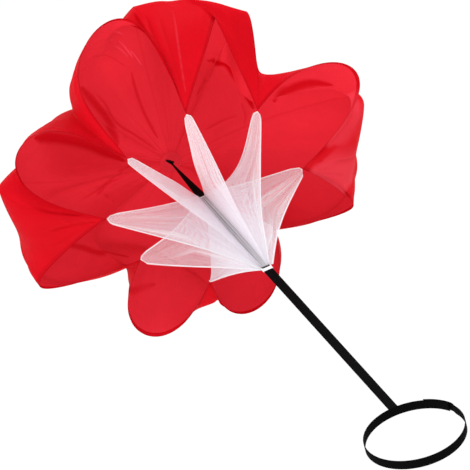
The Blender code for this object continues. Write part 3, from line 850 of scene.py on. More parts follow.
CORNERS = 8
VANE_THICKNESS = 0.0008
VANE_LENGTH = 0.505
VANE_NECK_HEIGHT = 0.009
VANE_TIP_WIDTH = 0.019
VANE_FRONT_SAG = 0.020
VANE_FRONT_SAG_SHARES = (0.85, 0.80, 0.0, 0.10, 0.65, 0.0, 0.40, 0.50)
VANE_BACK_SAG = 0.026
VANE_BACK_SAG_SHARES = (0.20, 3.00, 0.35, 0.90, 0.45, 1.00, 0.0, 0.30)
VANE_BACK_SAG_PEAK = 1.15
VANE_COLUMNS = 17
VANE_ROWS = 61
VANE_SEAM_ROWS = 36
CORNER_RADIUS = 0.255
CORNER_RADIUS_SHARES = (1.10, 1.06, 0.96, 0.985, 1.055, 0.91, 0.99, 0.97)
CORNER_ANGLES_DEG = (-6.7, 41.7, 85.5, 131.1, 168.8, 210.1, 262.0, 312.0)
VANE_TWIST_DEG = 78.0
VANE_TWIST_START = 0.30
TWIST_SIDES = (-1, -1, -1, 1, 1, 1, -1, -1)
TWIST_REACH = 0.0088
BILLOW = 0.006
PULL_HEIGHT = 0.0011
PULL_RATES = (7.0, 2.0)
PULL_STEP = 1.7
ROOT_SIDES = (0.0, 0.0115, 0.0125, -0.0125, 0.0, 0.0, 0.0, 0.0)
ROOT_FRONT_SHARE = 0.40
ROOT_LENGTH = 0.12
THREAD_SHARES = (0.42, 0.54, 0.72, 0.74, 0.46, 0.32, 0.76, 0.50)
NECK_THREAD_SHARE = 0.75
CROWDED_LENGTH = 0.24
TIP_POINT = 0.008
TIP_POINT_START = 0.95
TIP_HEM_START = 0.9
NO_HEM = 1.0


def corner_radius(corner):
    return CORNER_RADIUS * CORNER_RADIUS_SHARES[corner % CORNERS]


def corner_angle(corner):
    return math.radians(CORNER_ANGLES_DEG[corner % CORNERS])


def corner_y(corner):
    """All vanes are equally long, so a corner further out lies further forward."""
    return NECK_Y + math.sqrt(VANE_LENGTH**2 - corner_radius(corner) ** 2)


def strap_clearance(angle):
    """Least distance from the strap's axis to a vane that stands at this angle."""
    across = abs(math.sin(angle))
    along = abs(math.cos(angle))
    cover_depth = 2 * FIT_GAP + COVER_WALL
    face = WEBBING_THICKNESS / 2 + cover_depth + VANE_THICKNESS / 2 * along
    edge = WEBBING_WIDTH / 2 + cover_depth + VANE_THICKNESS / 2 * across
    nearest = min(face / max(across, 0.001), edge / max(along, 0.001))
    return max(nearest, 2 * (VANE_THICKNESS + FIT_GAP))


def hem_points(start, end, sag, peak, shares):
    """Points of a hem that sags sideways from the line between its ends."""
    start = np.array(start)
    along = np.array(end) - start
    side = np.array([-along[1], along[0]]) / np.linalg.norm(along)
    return start + np.outer(shares, along) + np.outer(sag * np.sin(math.pi * shares**peak), side)


def smooth_step(values):
    values = np.clip(values, 0.0, 1.0)
    return values * values * (3 - 2 * values)


def vane_grid(corner):
    """Points of a vane from its neck to its tip, and its maps."""
    angle = corner_angle(corner)
    inner = strap_clearance(angle)
    tip = np.array([corner_radius(corner), corner_y(corner)])
    middle = np.array([inner, NECK_Y + COVER_LENGTH / 2])
    along = (tip - middle) / np.linalg.norm(tip - middle)
    tip_end = tip - along * (CANOPY_THICKNESS / 2 + FIT_GAP)
    tip_side = np.array([along[1], -along[0]]) * VANE_TIP_WIDTH / 2
    shares = np.linspace(0.0, 1.0, VANE_ROWS)
    across = np.linspace(-1.0, 1.0, VANE_COLUMNS)

    # The front hem runs free, and the back edge follows the strap cover before it runs free too.
    neck_y = NECK_Y + FIT_GAP
    cover_end = (inner, NECK_Y + COVER_LENGTH)
    front_sag = VANE_FRONT_SAG * VANE_FRONT_SAG_SHARES[corner]
    back_sag = VANE_BACK_SAG * VANE_BACK_SAG_SHARES[corner]
    front = hem_points((inner + VANE_NECK_HEIGHT, neck_y), tip_end + tip_side, front_sag, 1.0, shares)
    seam_y = np.linspace(neck_y, cover_end[1], VANE_SEAM_ROWS)
    seam = np.stack([np.full(VANE_SEAM_ROWS, inner), seam_y], axis=-1)
    rest = np.linspace(1.0, 0.0, VANE_ROWS - VANE_SEAM_ROWS + 1)[1:]
    free = hem_points(tip_end - tip_side, cover_end, back_sag, VANE_BACK_SAG_PEAK, rest)
    back = np.concatenate([seam, free])
    half = (back - front) / 2
    centre = (back + front) / 2
    reach = np.linalg.norm(half, axis=1)

    # The panel turns about its middle line towards the tip, whose end is cut to a point.
    twist = smooth_step((shares - VANE_TWIST_START) / (1 - VANE_TWIST_START)) ** 0.6
    offset = np.minimum(reach, TWIST_REACH) * np.sin(np.radians(VANE_TWIST_DEG) * twist)
    shrink = np.sqrt(np.maximum(reach**2 - offset**2, 0.0)) / reach
    tip_share = smooth_step((shares - TIP_POINT_START) / (1 - TIP_POINT_START))
    cut_back = (TIP_POINT * np.abs(across) * tip_share[:, None])[..., None] * along
    flat = centre[:, None] + across[:, None] * (half * shrink[:, None])[:, None] - cut_back
    swell = np.sin(math.pi * shares)[:, None] * np.cos(across * math.pi / 2)
    pull = np.sin(across * PULL_RATES[0] + corner * PULL_STEP + shares[:, None] * PULL_RATES[1])
    aside = -TWIST_SIDES[corner] * across * offset[:, None]
    aside = aside + BILLOW * (1 if corner % 2 else -1) * swell + PULL_HEIGHT * pull * swell
    out = np.array([math.cos(angle), 0.0, math.sin(angle)])
    round_way = np.array([-math.sin(angle), 0.0, math.cos(angle)])
    points = np.array([0.0, 0.0, FOLD_HEIGHT]) + flat[..., :1] * out
    points = points + flat[..., 1:] * np.array([0.0, 1.0, 0.0]) + aside[..., None] * round_way

    # Some panels are sewn on at the strap's edge instead of over its middle.
    back_share = np.clip((flat[..., 1] - NECK_Y) / COVER_LENGTH, 0.0, 1.0)
    lean = ROOT_FRONT_SHARE + (1 - ROOT_FRONT_SHARE) * back_share
    points[..., 0] += ROOT_SIDES[corner] * lean * (1 - smooth_step(flat[..., 0] / ROOT_LENGTH))

    unrolled = centre[:, None] + across[:, None] * half[:, None] - cut_back
    from_front = (1 + across) * reach[:, None]
    from_back = (1 - across) * reach[:, None]
    from_back[: VANE_SEAM_ROWS - 1] = NO_HEM
    from_end = np.maximum((tip_end - unrolled) @ along - TIP_POINT * np.abs(across), 0.0)
    from_end[shares <= TIP_HEM_START] = NO_HEM
    from_hem = np.minimum(np.minimum(from_front, from_back), from_end)
    from_tip = np.linalg.norm(unrolled - tip_end, axis=-1)
    from_neck = np.hypot(flat[..., 0], flat[..., 1] - NECK_Y)
    crowded = smooth_step(1 - from_neck / CROWDED_LENGTH)
    share = THREAD_SHARES[corner] + (NECK_THREAD_SHARE - THREAD_SHARES[corner]) * crowded
    pleats = np.broadcast_to(across + 3.0 * corner, share.shape)
    edges = np.stack([from_hem, from_tip], axis=-1)
    return points, {"cloth": unrolled, "edges": edges, "gathers": np.stack([pleats, share], axis=-1)}


for corner in range(CORNERS):
    points, maps = vane_grid(corner)
    vane = grid_piece(f"mesh_vane_cloth_{corner + 1}", points, maps, white_mesh)
    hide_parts(f"mesh_vane_{corner + 1}")
    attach(vane, "chute")
    lengthwise = points[1:, :-1] - points[:-1, :-1]
    crosswise = points[:-1, 1:] - points[:-1, :-1]


# Crown patch
# A round double layer of the canopy's cloth, which closes the crown and takes the strap's pull.

CROWN_HOLE_RADIUS = 0.012
PATCH_RADIUS = 0.030
PATCH_COLUMNS = 48
PATCH_RADIUS_SHARES = (0.02, 0.2, 0.4, 0.6, 0.8, 0.94, 1.0, 1.0, 0.94, 0.5)
PATCH_DEPTH_SHARES = (-0.5, -0.5, -0.5, -0.5, -0.5, -0.5, -0.25, 0.25, 0.5, 0.5)
THREAD_PITCH = 0.0005
PUCKER_LENGTH = 0.016
HEM_STITCH_PLACE = 0.0092
OUTER_RED = (0.755, 0.0065, 0.018, 1.0)
# The inner red is paler and hazier than the outer one: a painted sheen.
INNER_RED_WITH_SHEEN = (0.725, 0.021, 0.036, 1.0)
# Colour of doubled cloth at seams and hems, also used as painted shade along folds and the rim edge.
DOUBLED_AND_SHADE_RED = (0.52, 0.0003, 0.0045, 1.0)
# Painted highlight colour: pale strokes for bright creases and the sheen on the cloth.
HIGHLIGHT_RED = (0.86, 0.060, 0.095, 1.0)
NO_FOLD = (9.0, 0.0)

# Plain weave at its real size, with slubs and a fine crinkle that runs with the cloth.
nylon_weave, given, end = new_group(
    "nylon_weave",
    {"Place": None, "Thread Pitch": THREAD_PITCH, "Crinkle": 1.0},
    ("Height", "Shade", "Crinkles"),
)
over, along = split(nylon_weave, given["Place"])[:2]
warp = (over / given["Thread Pitch"] * (2 * math.pi)).math("SINE")
weft = (along / given["Thread Pitch"] * (2 * math.pi)).math("SINE")
grain = warp * weft
stretched = output_of(nylon_weave, "ShaderNodeMapping", Vector=given["Place"], Scale=(16.0, 9.0, 1.0))
folds = noise_of(nylon_weave, stretched, Scale=1.0, Detail=4.0, Roughness=0.55, Distortion=0.4)
crease_settings = {"feature": "DISTANCE_TO_EDGE", "Vector": given["Place"], "Scale": 17.0}
creases = output_of(nylon_weave, "ShaderNodeTexVoronoi", crease_settings)
feed(end.inputs["Height"], grain)
feed(end.inputs["Shade"], grain * 0.1 + folds)
feed(end.inputs["Crinkles"], folds * given["Crinkle"] + creases.math("MINIMUM", 0.12) * 2.0)


def mix_colors(tree, share, first, second, blend_type="MIX"):
    """First colour with a share of the second one mixed in, or multiplied by it."""
    settings = {"data_type": "RGBA", "blend_type": blend_type, 0: share, 6: first, 7: second}
    return Shade(add_node(tree, "ShaderNodeMix", settings).outputs[2])


def red_cloth(name, through, outside, inside):
    """Thin red nylon: light from behind comes through it, and its seams and hems lie double. Its folds and
    rolled rim edge get painted shade, its creases painted highlights, and its inside a painted sheen.
    """
    settings = {"Roughness": 0.50, "Specular IOR Level": 0.02, "Sheen Weight": 0.006}
    settings |= {"Sheen Roughness": 0.45, "Sheen Tint": (1.0, 0.62, 0.66, 1.0)}
    material, tree, shader = new_material(name, settings)
    place = cloth_map_of(tree)
    weave = use_group(tree, nylon_weave, {"Place": place, "Thread Pitch": THREAD_PITCH, "Crinkle": 1.0})
    from_seam, from_rim = split(tree, cloth_map_of(tree, "edges"))[:2]
    from_fold, painted_fold_shade = split(tree, cloth_map_of(tree, "folds"))[:2]
    from_highlight, highlight_strength = split(tree, cloth_map_of(tree, "highlights"))[:2]
    from_stitch = (from_rim - HEM_STITCH_PLACE).math("ABSOLUTE")
    seam = soft_band(tree, from_seam, 0.0048, 0.0038, 0.10)
    seam_line = soft_band(tree, from_seam, 0.0014, 0.0006, 0.25)
    hem = soft_band(tree, from_rim, 0.0104, 0.0096, 0.16)
    # Painted shade: a dark line along the rolled rim edge.
    rim_edge_shade = soft_band(tree, from_rim, 0.0022, 0.0010, 0.70)
    stitch_line = soft_band(tree, from_stitch, 0.0012, 0.0005, 0.35)
    # Painted shade along the folds, as strong as each fold's tone.
    fold_shade = soft_band(tree, from_fold, 1.45, 0.30) * painted_fold_shade
    # Mask of the doubled seams, hems and stitching together with the painted shade.
    doubled_and_shade = seam | hem | seam_line | stitch_line | rim_edge_shade | fold_shade
    # Painted highlights where a fold's tone is below zero.
    painted_highlight = soft_band(tree, from_highlight, 1.30, 0.20) * highlight_strength
    dye = ramp(tree, weave["Shade"], (0.94, 0.90, 0.92), (1.0, 1.0, 1.0), 0.30, 0.75)
    back_side = Shade(add_node(tree, "ShaderNodeNewGeometry").outputs["Backfacing"])
    # The inside of the canopy gets the hazier red, a painted sheen.
    color = mix_colors(tree, back_side, outside, inside)
    color = mix_colors(tree, 1.0, color, dye, "MULTIPLY")
    color = mix_colors(tree, doubled_and_shade, color, DOUBLED_AND_SHADE_RED)
    color = mix_colors(tree, painted_highlight, color, HIGHLIGHT_RED)
    feed(shader.inputs["Base Color"], color)
    pucker = (split(tree, place)[1] * (2 * math.pi / PUCKER_LENGTH)).math("SINE")
    pucker = pucker * soft_band(tree, from_seam, 0.026, 0.004)
    wide = bump(tree, weave["Crinkles"] + pucker * 0.06 + doubled_and_shade * 0.10, 0.32, 0.004)
    feed(shader.inputs["Normal"], bump(tree, weave["Height"], 0.25, 0.0001, Normal=wide))
    glow = output_of(tree, "ShaderNodeBsdfTranslucent", Color=color, Normal=wide)
    both = mix_shaders(tree, through, Shade(shader.outputs[0]), glow)
    feed(tree.nodes["Material Output"].inputs["Surface"], both)
    return material


def ring(radius, angle, y):
    """Points round the strap's axis."""
    flat = np.zeros_like(angle)
    return np.stack([radius * np.cos(angle), y + flat, radius * np.sin(angle)], axis=-1)


canopy_cloth = red_cloth("red_nylon", 0.44, OUTER_RED, INNER_RED_WITH_SHEEN)
patch_cloth = red_cloth("red_nylon_patch", 0.12, INNER_RED_WITH_SHEEN, INNER_RED_WITH_SHEEN)

radii = PATCH_RADIUS * np.array(PATCH_RADIUS_SHARES)
depth = PATCH_THICKNESS * np.array(PATCH_DEPTH_SHARES)
turns = np.linspace(0.0, 2 * math.pi, PATCH_COLUMNS, endpoint=False)
patch_y = CROWN_Y - CANOPY_THICKNESS / 2 - FIT_GAP - PATCH_THICKNESS / 2
patch_points = ring(radii[:, None], turns[None], patch_y + depth[:, None])
patch_points = patch_points + np.array([0.0, 0.0, FOLD_HEIGHT])
no_edges = np.ones((len(radii), PATCH_COLUMNS, 2))
patch_maps = {"cloth": patch_points[..., [0, 2]], "edges": no_edges}
patch_maps |= {"folds": no_edges * NO_FOLD, "highlights": no_edges * NO_FOLD}
patch = grid_piece("crown_patch_cloth", patch_points, patch_maps, patch_cloth, wrap=True)
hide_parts("crown_patch")
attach(patch, "chute")


# Canopy
# Eight gores of thin red nylon, sewn edge to edge into one sheet that the air blows full.
# The free edge of each gore is a loop between two corners of the mouth.

RIM_REACH = 0.475
RIM_REACH_SHARES = (1.08, 0.87, 1.05, 1.03, 1.00, 0.96, 0.99, 1.07)
RIM_SETBACK = 0.120
RIM_SETBACK_SHARES = (0.06, 1.84, 1.37, 1.02, 1.21, 0.93, 0.90, 0.91)
RIM_LEAN_DEG = (4.9, -4.5, -5.0, -3.1, 11.1, 4.7, -4.1, -7.3)
RIM_SPREAD_SHARES = (0.25, -0.82, 0.78, 0.63, -0.31, -0.03, -0.18, -0.51)
RIM_ROUNDNESS_SHARES = (0.91, 1.00, 0.73, 0.87, 1.03, 0.65, 0.50, 0.99)
RIM_SKEW_SHARES = (-0.21, 0.0, -0.09, 0.04, 0.04, 0.03, 0.04, -0.03)
BELLY_RADIUS = 0.440
BELLY_SEAM_SHARES = (1.155, 1.04, 1.08, 0.76, 1.14, 0.66, 0.84, 0.645)
BELLY_MIDDLE_SHARES = (0.605, 0.99, 0.888, 0.89, 1.0, 0.61, 0.94, 1.152)
BELLY_SEAM_DEPTH = 0.160
BELLY_SEAM_DEPTH_SHARES = (0.83, 1.25, 1.4, 1.18, 1.03, 1.03, 0.96, 0.91)
BELLY_SEAM_LEAN_DEG = (9.0, 8.0, 3.0, 0.0, -8.0, 10.0, 8.0, -1.0)
BELLY_BACK_SHARE = 0.45
SMOOTH_SEAM_SHARES = (1.0, 0.0, 1.0, 0.0, 1.0, 0.0, 0.3, 0.0)
SEAM_RIDGE_SHARES = (1.0, 2.2, 1.0, 1.0, 1.0, 1.0, 1.0, 1.0)
SEAM_RIDGE_POWER = 2.2
BACK_RADIUS = 0.270
BACK_SEAM_DEPTH = 0.290
BACK_SEAM_DEPTH_SHARES = (1.0, 1.0, 1.0, 1.0, 0.80, 0.9, 0.9, 0.9)
BACK_MIDDLE_DEPTH = 0.330
FAN_RISE = 0.035
FAN_RISE_SHARES = (1.8, 0.2, 1.4, 0.6, 2.1, -0.1, 1.0, 0.3)
FAN_FORWARD = 0.030
MIDDLE_RISE = 0.012
FOLD_DEPTH = 0.0015
FOLDS_PER_GORE = 3
MOUTH_Y = NECK_Y + math.sqrt(VANE_LENGTH**2 - CORNER_RADIUS**2)
GORE_COLUMNS = 72
ROWS_PER_SPAN = 36
GORE_MAP_STEP = 0.9
INNER_DEPTH = 0.10


def gore_angles(gore):
    """Angles of the corners on both sides of a gore, the second one larger."""
    first = corner_angle(gore)
    second = corner_angle(gore + 1)
    if second < first:
        second += 2 * math.pi
    return first, second


def rim_points(gore, across):
    """Free edge of a gore, as a loop from one corner out and back to the next."""
    first, second = gore_angles(gore)
    start = ring(corner_radius(gore), np.array([first]), corner_y(gore))[0]
    end = ring(corner_radius(gore + 1), np.array([second]), corner_y(gore + 1))[0]
    middle = (start + end) / 2
    lean = math.atan2(middle[2], middle[0]) + math.radians(RIM_LEAN_DEG[gore])
    y = MOUTH_Y + RIM_SETBACK * RIM_SETBACK_SHARES[gore]
    peak = ring(RIM_REACH * RIM_REACH_SHARES[gore], np.array([lean]), y)[0]
    turn = across * math.pi / 2
    height = np.clip(np.cos(turn), 0.0, 1.0)
    sideways = np.sin(turn) * (1 + RIM_SPREAD_SHARES[gore] * height)
    upward = height ** RIM_ROUNDNESS_SHARES[gore] * (1 + RIM_SKEW_SHARES[gore] * np.sin(turn))
    return middle + np.outer(sideways, (end - start) / 2) + np.outer(upward, peak - middle)


def gore_rings(gore, across):
    """Five lines across the gore: crown, back, belly, shoulder and rim."""
    first, second = gore_angles(gore)
    angle = (first + second) / 2 + (second - first) / 2 * across
    to_next = (1 + across) / 2

    def at_seams(shares):
        """Share that goes evenly from the gore's first seam to its second one."""
        return shares[gore] * (1 - to_next) + shares[(gore + 1) % CORNERS] * to_next

    def at_nearest_seam(shares):
        """Share of the seam on this side of the gore's middle."""
        return np.where(across < 0, shares[gore], shares[(gore + 1) % CORNERS])

    ridge = SEAM_RIDGE_POWER * at_nearest_seam(SEAM_RIDGE_SHARES)
    drawn_in = np.clip(1 - np.abs(across) ** ridge, 0.0, 1.0)
    smooth = np.cos(across * math.pi / 2) ** 2
    middle = drawn_in + (smooth - drawn_in) * at_nearest_seam(SMOOTH_SEAM_SHARES)
    fold = FOLD_DEPTH * np.cos(FOLDS_PER_GORE * math.pi * across) * (1 - across**2)

    crown = ring(CROWN_HOLE_RADIUS, angle, CROWN_Y)
    back_seam_depth = BACK_SEAM_DEPTH * at_seams(BACK_SEAM_DEPTH_SHARES)
    back_depth = back_seam_depth + (BACK_MIDDLE_DEPTH - back_seam_depth) * middle + fold
    back = ring(BACK_RADIUS, angle, MOUTH_Y + back_depth)
    seam_radius = BELLY_RADIUS * at_seams(BELLY_SEAM_SHARES)
    middle_radius = BELLY_RADIUS * BELLY_MIDDLE_SHARES[gore]
    seam_depth = BELLY_SEAM_DEPTH * at_seams(BELLY_SEAM_DEPTH_SHARES)
    rim_depth = RIM_SETBACK * RIM_SETBACK_SHARES[gore]
    middle_depth = rim_depth + (BACK_MIDDLE_DEPTH - rim_depth) * BELLY_BACK_SHARE
    belly_radius = seam_radius + (middle_radius - seam_radius) * middle + fold
    belly_angle = angle + np.radians(at_seams(BELLY_SEAM_LEAN_DEG))
    belly = ring(belly_radius, belly_angle, MOUTH_Y + seam_depth + (middle_depth - seam_depth) * middle)
    rim = rim_points(gore, across)
    rise = FAN_RISE * at_seams(FAN_RISE_SHARES) * (1 - middle) + MIDDLE_RISE * middle + fold / 2
    forward = np.outer(FAN_FORWARD * (1 - middle), (0.0, 1.0, 0.0))
    shoulder = (belly + rim) / 2 + ring(rise, belly_angle, 0.0) - forward
    return crown, back, belly, shoulder, rim


def smooth_lines(rings, rows):
    """Smooth lines through the rings, from the crown to the rim."""
    knots = [2 * rings[0] - rings[1], *rings, 2 * rings[-1] - rings[-2]]
    lines = []
    for span in range(len(rings) - 1):
        a, b, c, d = knots[span : span + 4]
        for i in range(rows + (1 if span == len(rings) - 2 else 0)):
            t = i / rows
            straight = 2 * b + (c - a) * t
            bend = (2 * a - 5 * b + 4 * c - d) * t**2
            turn = (3 * b - a - 3 * c + d) * t**3
            lines.append((straight + bend + turn) / 2)
    return np.array(lines)


across = np.linspace(-1.0, 1.0, GORE_COLUMNS + 1)
gores = [smooth_lines(gore_rings(gore, across), ROWS_PER_SPAN) for gore in range(CORNERS)]
sheet = np.concatenate([grid[:, :-1] for grid in gores], axis=1)
sheet_rows, sheet_columns = sheet.shape[:2]
down = np.gradient(sheet, axis=0)
around = (np.roll(sheet, -1, axis=1) - np.roll(sheet, 1, axis=1)) / 2
normals = np.cross(around, down)
normals /= np.linalg.norm(normals, axis=-1, keepdims=True)
inner_middle = np.array([0.0, MOUTH_Y + INNER_DEPTH, 0.0])
if (normals * (sheet - inner_middle)).sum() < 0:
    normals = -normals


def running_length(grid, axis):
    """Length of the lines of a grid, from their start to each of their points."""
    runs = np.cumsum(np.linalg.norm(np.diff(grid, axis=axis), axis=-1), axis=axis)
    return np.concatenate([np.zeros_like(runs.take([0], axis)), runs], axis=axis)


# Distances over the cloth: along from the crown, and across from each gore's middle line.
cloth_map = np.zeros((CORNERS, sheet_rows, GORE_COLUMNS + 1, 2))
edge_map = np.zeros_like(cloth_map)
for gore, grid in enumerate(gores):
    over = running_length(grid, 1)
    along = running_length(grid, 0)
    width = over[:, -1:]
    cloth_map[gore] = np.stack([over - width / 2 + gore * GORE_MAP_STEP, along], axis=-1)
    edge_map[gore] = np.stack([np.minimum(over, width - over), along[-1:] - along], axis=-1)

# Wrinkles: gathers at the crown, long soft folds, creases that fan out from the corners,
# and short arcs along the rims where the slack cloth bunches.
GATHER_HEIGHT = 0.0006
GATHER_REACH = 0.07
LONG_FOLD_HEIGHT = 0.0030
LONG_FOLD_START = 0.34
LONG_FOLD_RATES = (2.2, 2.4)
LONG_FOLD_STEP = 5.3
BUNCH_HEIGHT = 0.0008
BUNCH_SHARES = (0.4, 0.4, 1.3, 0.5, 0.4, 0.4, 0.4, 0.5)
BUNCH_RATE = 190.0
BUNCH_REACH = 0.085
BUNCH_DRIFT = 3.0
BUNCH_DRIFT_RATE = 9.0
RIM_HOLD = 0.02
RIM_KEPT_SHARE = 0.25
CREASE_HEIGHT = 0.0020
CREASE_LENGTH = 0.34
CREASE_RATE = 21.0
CREASE_STEP = 2.1
CREASE_START = 0.06
CREASE_FADE = 0.13
CRINKLE_HEIGHT = 0.0009
CRINKLE_RATE = 14.0
CRINKLE_START = 0.03


def wrinkle(gore, u, along, from_rim, point):
    """Height of the wrinkles at a point of the cloth, a share u across its gore."""
    inside = 1 - u * u
    gather = GATHER_HEIGHT * math.cos(5 * math.pi * u) * inside
    gather *= math.exp(-((along - GATHER_REACH) / GATHER_REACH) ** 2)
    over = u * LONG_FOLD_RATES[0] + gore * LONG_FOLD_STEP
    drift = noise.noise(Vector((over, along * LONG_FOLD_RATES[1], 1.7)))
    long_fold = LONG_FOLD_HEIGHT * drift * min(1.0, along / LONG_FOLD_START) ** 2
    bunch = math.sin(from_rim * BUNCH_RATE + BUNCH_DRIFT * noise.noise(point * BUNCH_DRIFT_RATE))
    bunch *= math.exp(-from_rim / BUNCH_REACH)
    bunch *= BUNCH_HEIGHT * BUNCH_SHARES[gore] * inside * min(1.0, from_rim / RIM_HOLD)
    fan = 0.0
    for corner, side in ((gore, 1 + u), (gore + 1, 1 - u)):
        length = (Vector(gores[corner % CORNERS][-1, 0]) - point).length
        if length < CREASE_LENGTH:
            wave = CREASE_HEIGHT * math.sin(side * CREASE_RATE + corner * CREASE_STEP)
            fan += wave * math.exp(-length / CREASE_FADE) * min(1.0, length / CREASE_START)
    small = CRINKLE_HEIGHT * noise.noise(point * CRINKLE_RATE + Vector((3.1, 0.0, 7.7)))
    height = gather + long_fold * inside + bunch + fan * inside + small * min(1.0, along / CRINKLE_START)
    return height * min(1.0, from_rim / RIM_HOLD + RIM_KEPT_SHARE)


wrinkles = np.zeros((sheet_rows, sheet_columns))
for column in range(sheet_columns):
    gore, j = divmod(column, GORE_COLUMNS)
    for i in range(sheet_rows):
        along = cloth_map[gore, i, j, 1]
        from_rim = edge_map[gore, i, j, 1]
        wrinkles[i, column] = wrinkle(gore, across[j], along, from_rim, Vector(sheet[i, column]))


# Folds and creases that stay in the blown cloth. Each has a half width, a rise, a tone, and places along it
# as (gore, across, down). A tone above zero is painted shade that darkens the cloth along the fold;
# a tone below zero is a painted highlight or sheen that pales it.
FOLDS = (
    (0.0100, 0.0015, 1.00, ((1, -0.87, 0.25), (1, -0.96, 0.26), (0, 0.76, 0.26), (0, 0.56, 0.28),
        (0, 0.41, 0.28), (0, 0.15, 0.27), (0, -0.11, 0.27), (0, -0.28, 0.27), (0, -0.51, 0.26),
        (0, -0.71, 0.26))),
    (0.0030, -0.0020, 0.35, ((0, 0.78, 0.22), (0, 0.89, 0.21), (1, -0.98, 0.20), (1, -0.95, 0.17),
        (1, -0.92, 0.15))),
    (0.0190, 0.0030, 0.85, ((0, -0.71, 0.32), (0, -0.18, 0.61), (0, -0.12, 0.66), (0, -0.11, 0.70),
        (0, -0.13, 0.73), (0, -0.17, 0.76), (0, -0.22, 0.78), (0, -0.29, 0.81))),
    (0.0170, 0.0030, 0.85, ((3, -0.06, 0.57), (3, 0.0, 0.47), (3, 0.11, 0.31), (3, 0.11, 0.26),
        (3, 0.11, 0.22), (3, 0.12, 0.18), (3, 0.21, 0.15), (3, 0.31, 0.13), (3, 0.43, 0.11),
        (3, 0.56, 0.10))),
    (0.0120, -0.0030, 0.70, ((2, 0.55, 0.30), (2, 0.68, 0.22), (2, 0.83, 0.17), (3, -0.86, 0.14),
        (3, -0.20, 0.11))),
    (0.0030, -0.0015, 0.30, ((2, 0.23, 0.53), (2, 0.02, 0.50), (2, -0.14, 0.49), (2, -0.34, 0.34),
        (2, -0.51, 0.26), (2, -0.67, 0.24))),
    (0.0045, -0.0025, 0.55, ((2, -0.40, 0.05), (2, -0.42, 0.09), (2, -0.45, 0.13), (2, -0.54, 0.18),
        (2, -0.62, 0.23))),
    (0.0035, -0.0020, 0.45, ((2, 0.59, 0.03), (2, 0.73, 0.09), (2, 0.80, 0.13), (2, 0.68, 0.16),
        (2, 0.51, 0.19), (2, 0.44, 0.27))),
    (0.0085, -0.0050, 0.75, ((2, -0.93, 0.58), (2, -0.88, 0.68), (2, -0.93, 0.78), (2, -0.97, 0.88),
        (2, -0.99, 0.96))),
    (0.0060, -0.0040, 0.35, ((1, 0.94, 0.61), (1, 0.99, 0.70), (1, 0.98, 0.81), (1, 0.96, 0.92))),
    (0.0050, -0.0030, 0.20, ((1, 0.78, 0.64), (1, 0.87, 0.74), (1, 0.91, 0.85), (1, 0.94, 0.95))),
    (0.0050, 0.0030, -0.45, ((1, 0.57, 0.66), (1, 0.77, 0.79), (1, 0.86, 0.88), (1, 0.93, 0.97))),
    (0.0045, -0.0040, 0.95, ((7, 0.87, 0.98), (7, 0.83, 0.94), (7, 0.80, 0.89), (7, 0.72, 0.85),
        (7, 0.61, 0.77))),
    (0.0040, -0.0040, 0.90, ((7, 0.82, 1.00), (7, 0.73, 0.98), (7, 0.58, 0.97), (7, 0.40, 0.98),
        (7, 0.25, 0.99))),
    (0.0040, -0.0030, 0.65, ((7, 0.90, 1.00), (7, 0.79, 0.97), (7, 0.65, 0.92), (7, 0.14, 0.74))),
    (0.0060, -0.0025, 0.45, ((3, 0.76, 0.09), (3, 0.98, 0.12), (4, -0.03, 0.13), (4, 0.18, 0.15),
        (4, 0.41, 0.18))),
    (0.0045, -0.0030, 0.50, ((0, -0.98, 0.97), (0, -0.90, 0.93), (0, -0.81, 0.87), (0, -0.70, 0.80))),
    (0.0080, -0.0035, 0.50, ((4, -0.98, 0.68), (3, 0.99, 0.84), (3, 0.98, 0.94))),
    (0.0070, -0.0030, 0.45, ((4, -0.61, 0.67), (4, -0.84, 0.89), (4, -0.96, 0.99))),
    (0.0060, 0.0025, 0.15, ((4, -0.25, 0.67), (4, -0.70, 0.93), (4, -0.91, 0.99))),
    (0.0035, -0.0020, 0.35, ((0, -0.33, 0.10), (0, -0.51, 0.15), (0, -0.65, 0.21))),
    (0.0035, -0.0020, 0.35, ((0, -0.45, 0.23), (0, -0.73, 0.23), (0, -0.95, 0.22))),
    (0.0090, -0.0035, 0.65, ((4, 0.50, 0.37), (4, 0.80, 0.36), (4, 0.97, 0.40), (5, -0.62, 0.48))),
    (0.0040, -0.0025, 0.35, ((3, 0.91, 0.20), (4, 0.10, 0.17), (4, 0.89, 0.15))),
    (0.0035, -0.0020, 0.30, ((4, 0.30, 0.22), (4, 0.26, 0.17), (4, 0.13, 0.13), (4, -0.31, 0.07))),
    (0.0120, -0.0030, 0.45, ((5, -0.85, 0.85), (5, -0.50, 0.75), (5, 0.06, 0.66))),
    (0.0030, 0.0028, -0.55, ((2, -0.31, 0.62), (2, -0.52, 0.46), (2, -0.73, 0.32))),
    (0.0030, 0.0028, -0.55, ((2, -0.44, 0.62), (2, -0.70, 0.42), (2, -0.91, 0.30))),
    (0.0030, 0.0028, -0.60, ((2, -0.63, 0.39), (2, -0.70, 0.32), (2, -0.77, 0.27))),
    (0.0028, 0.0028, -0.50, ((2, -0.76, 0.31), (2, -0.84, 0.27), (2, -0.91, 0.24))),
    (0.0028, 0.0024, -0.45, ((2, -0.50, 0.40), (2, -0.60, 0.33), (2, -0.68, 0.28))),
    (0.0900, 0.0000, -0.85, ((7, 0.90, 0.98), (7, 0.62, 0.93), (7, 0.40, 0.88))),
    (0.0700, 0.0000, -0.75, ((0, -0.90, 0.93), (0, -0.70, 0.84), (0, -0.60, 0.76))),
)
FOLD_END_LENGTH = 0.16
FOLD_END_WIDTH = 0.25
FOLD_END_POWER = 0.7
FOLD_LINE_STEPS = 6
FAR_FROM_FOLDS = 3.0


